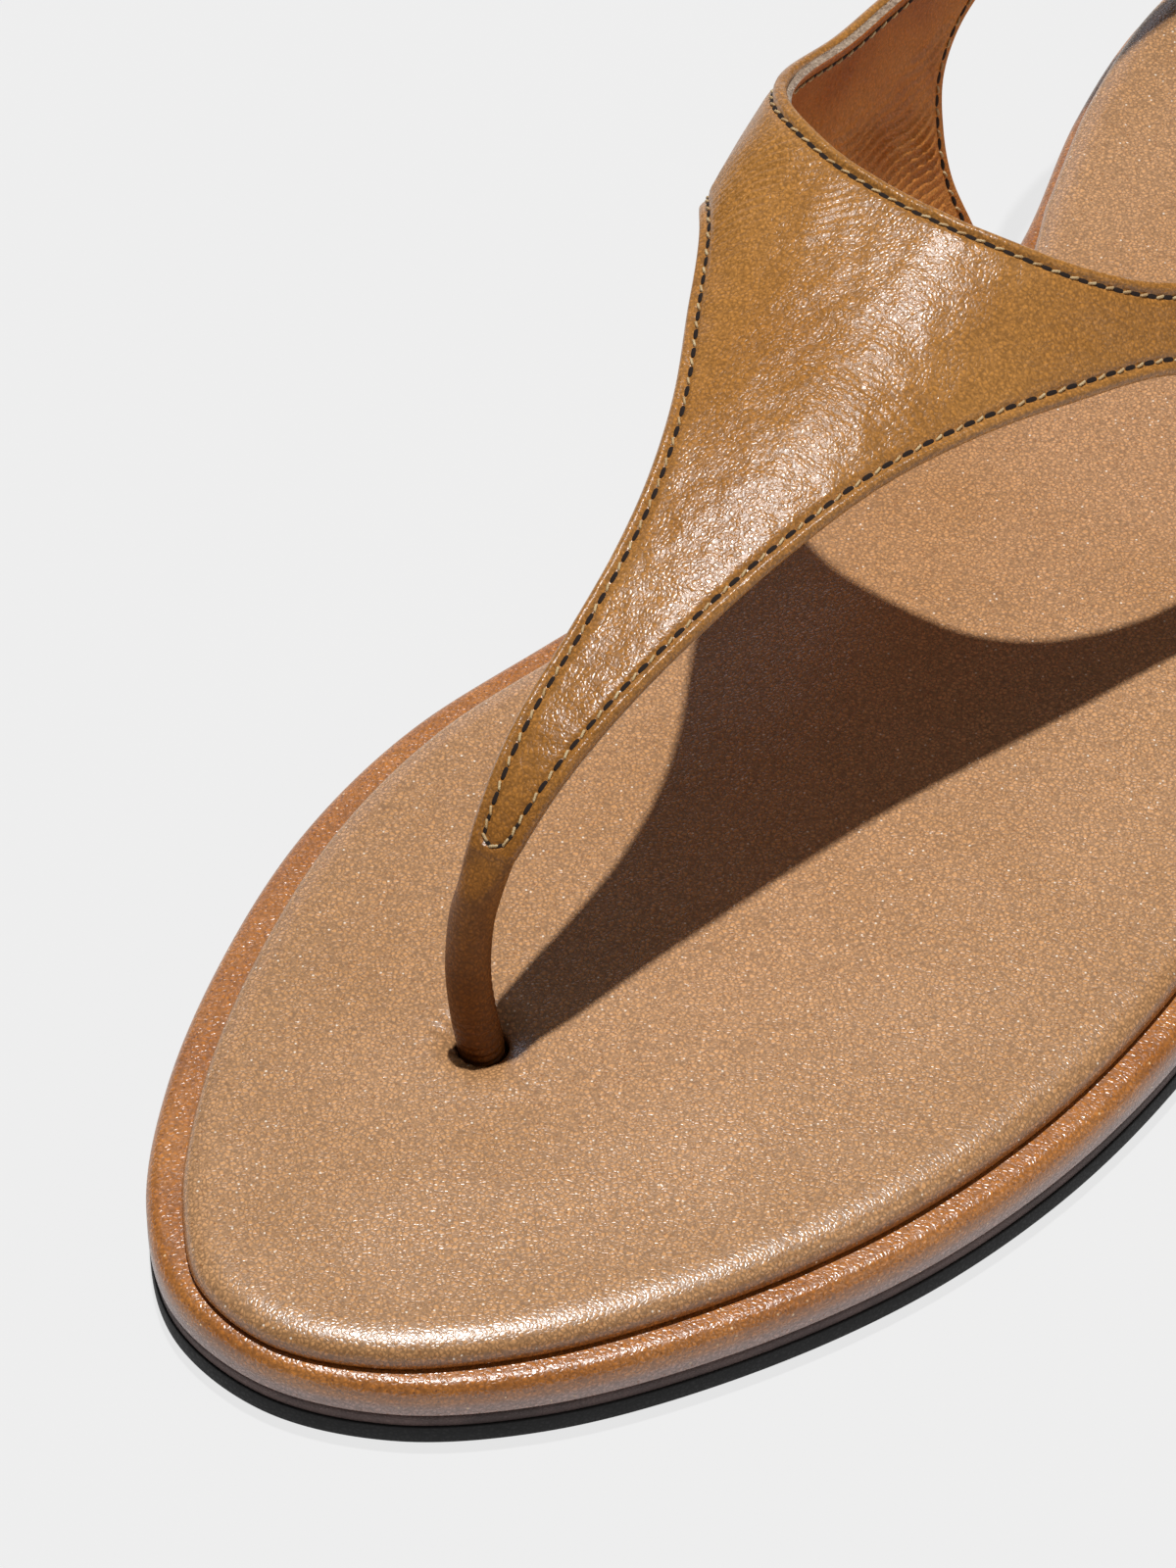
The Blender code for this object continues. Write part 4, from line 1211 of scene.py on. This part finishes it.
def strapTemplate(index):
    # the strap's section in turn: whether measured across or from an edge, how far, how deep
    line = lines[index][1]
    run = np.linalg.norm(line - line[0], axis=1)
    shares = [run[k] / run[-1] for k in range(len(line)) if (index, k) in ringPlace]
    outer = [("low", profileEdge, 0.0)] + [("row", share, 0.0) for share in shares]
    outer.append(("high", profileEdge, 0.0))
    inner = [(kind, value, upper["wall"]) for kind, value, _ in reversed(outer)]
    rim = [(inWay * mm, down * mm) for inWay, down in edgeProfile]
    return (outer + [("high", inWay, down) for inWay, down in rim] + inner
            + [("low", inWay, down) for inWay, down in reversed(rim)])


def addStrap(points):
    # the arch side's leather section runs round the heel to the other side's
    grid = strapSkin()
    normal = unit(np.cross(np.gradient(grid, axis=0), np.gradient(grid, axis=1)))
    if (grid[5, 3] - grid.mean(axis=(0, 1))) @ normal[5, 3] < 0:
        normal = -normal
    width = np.linalg.norm(grid[:, -1] - grid[:, 0], axis=1)
    steps = upper["rungSteps"]
    template = strapTemplate(3)
    rings, made = [capRing(3)], []
    for i in range(2, len(grid) - 2):
        spots = []
        for kind, value, depth in template:
            share = {"row": value, "low": value / width[i], "high": 1 - value / width[i]}[kind]
            away = share * width[i] if share < 0.5 else (1 - share) * width[i]
            if depth == 0.0:
                depth = float(outerDepth(away, abs(away - upper["stitchIn"])))
            elif depth == upper["wall"]:
                depth = float(innerDepth(away))
            at = share * steps
            k = min(int(at), steps - 1)
            spot = grid[i, k] * (1 - (at - k)) + grid[i, k + 1] * (at - k)
            n = unit(normal[i, k] * (1 - (at - k)) + normal[i, k + 1] * (at - k))
            spots.append(spot - n * depth)
        first = len(points) + len(made) * len(template)
        rings.append([first + k for k in range(len(template))])
        made.append(np.array(spots))
    rings.append(turnRing(capRing(5), len(template) // 2 - len(edgeProfile), len(edgeProfile)))
    return np.vstack([points] + made), loftFaces(rings)


def turnRing(ring, row, rim):
    # the same section read from its other edge: row points on each face, rim points on each edge
    outer, firstRim = ring[:row], ring[row:row + rim]
    inner, secondRim = ring[row + rim:2 * row + rim], ring[2 * row + rim:]
    return outer[::-1] + secondRim[::-1] + inner[::-1] + firstRim[::-1]


points, strapFaces = addStrap(points)
footFaces = [tuple(capRing(index)) for index in (1, 7)]


def upperPiece():
    # material of each face: 0 leather, 1 lining, 2 raw edge, 3 post
    ringSize = len(capRing(3))
    row = ringSize // 2 - len(edgeProfile)
    kinds = [0] * (row - 1) + list(profileSlots) + [1] * (row - 1) + list(profileSlots[::-1])
    strapSlots = [kinds[k % ringSize] for k in range(len(strapFaces))]
    return addPiece("leatherUpper", points, faces + postFaces + strapFaces + footFaces,
                    [upperLeather, liningLeather, suedeEdge, postLeather],
                    slots + [3] * len(postFaces) + strapSlots + [0] * len(footFaces))


upperShell = upperPiece()
shape = bmesh.new()
shape.from_mesh(upperShell.data)
bmesh.ops.recalc_face_normals(shape, faces=shape.faces)
print("upper", len(shape.faces), "faces, open edges", sum(len(e.link_faces) != 2 for e in shape.edges))
shape.to_mesh(upperShell.data)
shape.free()
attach(upperShell, "root")
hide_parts("upper")
print("upper made")


# stitches

def facePath(skin, normal, inside):
    # the line on the leather's outer or inner face, and the direction out of that face
    depth = np.full(len(skin), upper["stitchIn"])
    down = innerDepth(depth) if inside else outerDepth(depth, 0.0)
    return skin - normal * down[:, None], (-normal if inside else normal)


def skinPath(flat, inside):
    along = alongOf(flat[:, 0])
    return facePath(onSkin(along, flat[:, 1]), skinNormal(along, flat[:, 1]), inside)


def strapPath(low, inside):
    grid = strapSkin()
    width = np.linalg.norm(grid[:, -1] - grid[:, 0], axis=1)[:, None]
    share = upper["stitchIn"] / width
    edge, other = (grid[:, 0], grid[:, -1]) if low else (grid[:, -1], grid[:, 0])
    line = edge * (1 - share) + other * share
    normal = unit(np.cross(np.gradient(line, axis=0), grid[:, -1] - grid[:, 0]))
    normal *= np.sign((normal * (line - line.mean(axis=0))).sum(axis=1).mean())
    return facePath(line, normal, inside)


def placesAlong(path, normal, pitch, closer):
    # centre, direction and outward direction of each stitch, the same of the gap after it, and the
    # way to the next stitch
    run = runAlong(path)
    goal, at = [], pitch / 2
    foremost = run[int(np.argmin(path[:, 1]))]
    while at < run[-1]:
        goal.append(at)
        at += stitch["uPitch"] if closer and abs(at - foremost) < stitch["uReach"] else pitch
    goal = np.array(goal)
    step = np.diff(np.append(goal, goal[-1] + pitch))
    slope = np.gradient(path, run, axis=0)
    found = []
    for where in (goal, goal + step / 2):
        found.append(sampled(path, run, where))
        found += [unit(sampled(table, run, where)) for table in (slope, normal)]
    keep = found[0][:, 2] > insoleTop
    return [row[keep] for row in found + [step]]


def threadPoints(centre, ahead, out, number):
    # one stitch: a twisted thread that rises out of a hole and dips into the next
    share = np.linspace(-1, 1, 9)
    across = np.cross(out, ahead)
    thick = stitch["thread"]
    rise = thick * 0.95 * (1 - share ** 4) - thick * 1.3 * share ** 8
    middle = (centre + ahead * share[:, None] * stitch["length"] / 2
              + across * share[:, None] * stitch["lean"] + out * rise[:, None])
    turn = np.arange(stitch["threadSides"]) / stitch["threadSides"] * math.tau
    rings = []
    for i, s in enumerate(share):
        radius = thick * (1 - 0.25 * s ** 6) * (1 + 0.10 * math.cos(math.pi * i))
        twist = turn + i * 0.35 + number * 0.7
        rings.append(middle[i] + across * (np.cos(twist) * radius)[:, None]
                     + out * (np.sin(twist) * radius)[:, None])
    return np.vstack(rings)


def holeShadePoints(centre, ahead, out, share):
    # painted shade: flat dark spindle half sunk in the groove between two stitches, for the shade of a needle
    # hole
    across = np.cross(out, ahead)
    turn = np.arange(stitch["slotSides"]) / stitch["slotSides"] * math.tau
    rings = []
    for s in (-0.97, -0.7, -0.3, 0.3, 0.7, 0.97):
        size = math.sqrt(1 - s * s)
        rings.append(centre + ahead * (s * share * stitch["slotLong"] / 2)
                     + across * (np.cos(turn) * size * share * stitch["slotWide"] / 2)[:, None]
                     + out * (np.sin(turn) * size * stitch["slotDeep"] + stitch["slotProud"])[:, None])
    return np.vstack(rings)


def makeStitches():
    routes = []
    for inside in (False, True):
        routes += [skinPath(flat, inside) for flat in flatStitchLines(lines)]
        routes += [strapPath(low, inside) for low in (True, False)]
    threads, needleHoleShadows = [], []
    for index, (path, normal) in enumerate(routes):
        row = index % len(stitch["pitches"])
        found = placesAlong(path, normal, stitch["pitches"][row], row == 0)
        for k, (centre, ahead, out, between, beyond, outBeyond, step) in enumerate(zip(*found)):
            threads.append(threadPoints(centre, ahead, out, k))
            needleHoleShadows.append(holeShadePoints(between, beyond, outBeyond, min(1.0, step / stitch["fullStep"])))
    # the needle holes' pieces are painted shade
    for name, groups, sides, material in (("seamThreads", threads, stitch["threadSides"], threadMaterial),
                                          ("needleHoleShadows", needleHoleShadows, stitch["slotSides"], holeShadeMaterial)):
        size = len(groups[0])
        one = tubeMesh(size // sides, sides)
        found = [tuple(k * size + n for n in face) for k in range(len(groups)) for face in one]
        piece = addPiece(name, np.vstack(groups), found, [material])
        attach(piece, "root")
        print(name, len(groups))


makeStitches()


# floor, light and camera

view = {
    "side": math.radians(30.88),     # round to the outer side, from straight ahead of the toe
    "up": math.radians(44.99),
    "distance": 0.800,
    "target": (-26.77 * mm, -38.73 * mm, 0.0),
    "focalPixels": 8104,             # of the photo's frame, 1600 on its longer side
    "longSide": 1600,
    "sensor": 36.0,
}


def makeCamera():
    data = bpy.data.cameras.new("camera")
    data.sensor_width = view["sensor"]
    data.lens = view["focalPixels"] / view["longSide"] * view["sensor"]
    data.clip_start, data.clip_end = 0.05, 20.0
    camera = bpy.data.objects.new("camera", data)
    back = Vector((math.sin(view["side"]) * math.cos(view["up"]),
                   -math.cos(view["side"]) * math.cos(view["up"]), math.sin(view["up"])))
    camera.location = Vector(view["target"]) + back * view["distance"]
    camera.rotation_euler = (-back).to_track_quat("-Z", "Y").to_euler()
    bpy.context.scene.collection.objects.link(camera)
    bpy.context.scene.camera = camera


stage = {
    # the floor gives most of its light itself, so that it stays evenly pale right up to the sole
    "floor": "#464646", "glow": 0.772, "half": 3.0, "below": 0.02 * mm,
    "sun": 3.05, "sunTowards": (-0.100, 0.143, 1.0), "sunAngle": 1.6, "world": 0.055,
    "softSize": (0.9, 0.5), "softAway": 1.5,
}
softLights = (
    # name, watts, direction towards it, colour
    ("window", 1.6, (-0.70, 0.61, 0.36), "#DCE8FF"),
    ("reflector", 2.2, (0.88, 0.05, 0.48), "#FFF2E4"),
)


def makeFloor():
    material, _, shader = newMaterial("paleStudioFloor", Base_Color=linear(stage["floor"]), Roughness=0.9)
    shader.inputs["Emission Color"].default_value = linear("#FFFFFF")
    shader.inputs["Emission Strength"].default_value = stage["glow"]
    size = stage["half"]
    corners = [(-size, -size, 0), (size, -size, 0), (size, size, 0), (-size, size, 0)]
    floor = addPiece("studioFloor", corners, [(0, 1, 2, 3)], [material])
    floor.location.z = cadBox[0][2] - stage["below"]


def placeLight(data, direction, away):
    # a light that shines from a direction onto the camera's target
    towards = Vector(direction).normalized()
    light = bpy.data.objects.new(data.name, data)
    light.location = Vector(view["target"]) + towards * away
    light.rotation_euler = towards.to_track_quat("Z", "Y").to_euler()
    bpy.context.scene.collection.objects.link(light)


def makeLights():
    sun = bpy.data.lights.new("sun", "SUN")
    sun.energy = stage["sun"]
    sun.angle = math.radians(stage["sunAngle"])
    placeLight(sun, stage["sunTowards"], stage["softAway"])
    for name, watts, direction, colour in softLights:
        soft = bpy.data.lights.new(name, "AREA")
        soft.shape = "RECTANGLE"
        soft.size, soft.size_y = stage["softSize"]
        soft.energy = watts
        soft.color = linear(colour)[:3]
        placeLight(soft, direction, stage["softAway"])
    world = bpy.data.worlds.new("softStudio")
    world.use_nodes = True
    background = world.node_tree.nodes["Background"]
    background.inputs["Color"].default_value = linear("#FFFFFF")
    background.inputs["Strength"].default_value = stage["world"]
    bpy.context.scene.world = world
    bpy.context.scene.view_settings.view_transform = "Standard"


makeCamera()
makeFloor()
makeLights()
print("stage made")
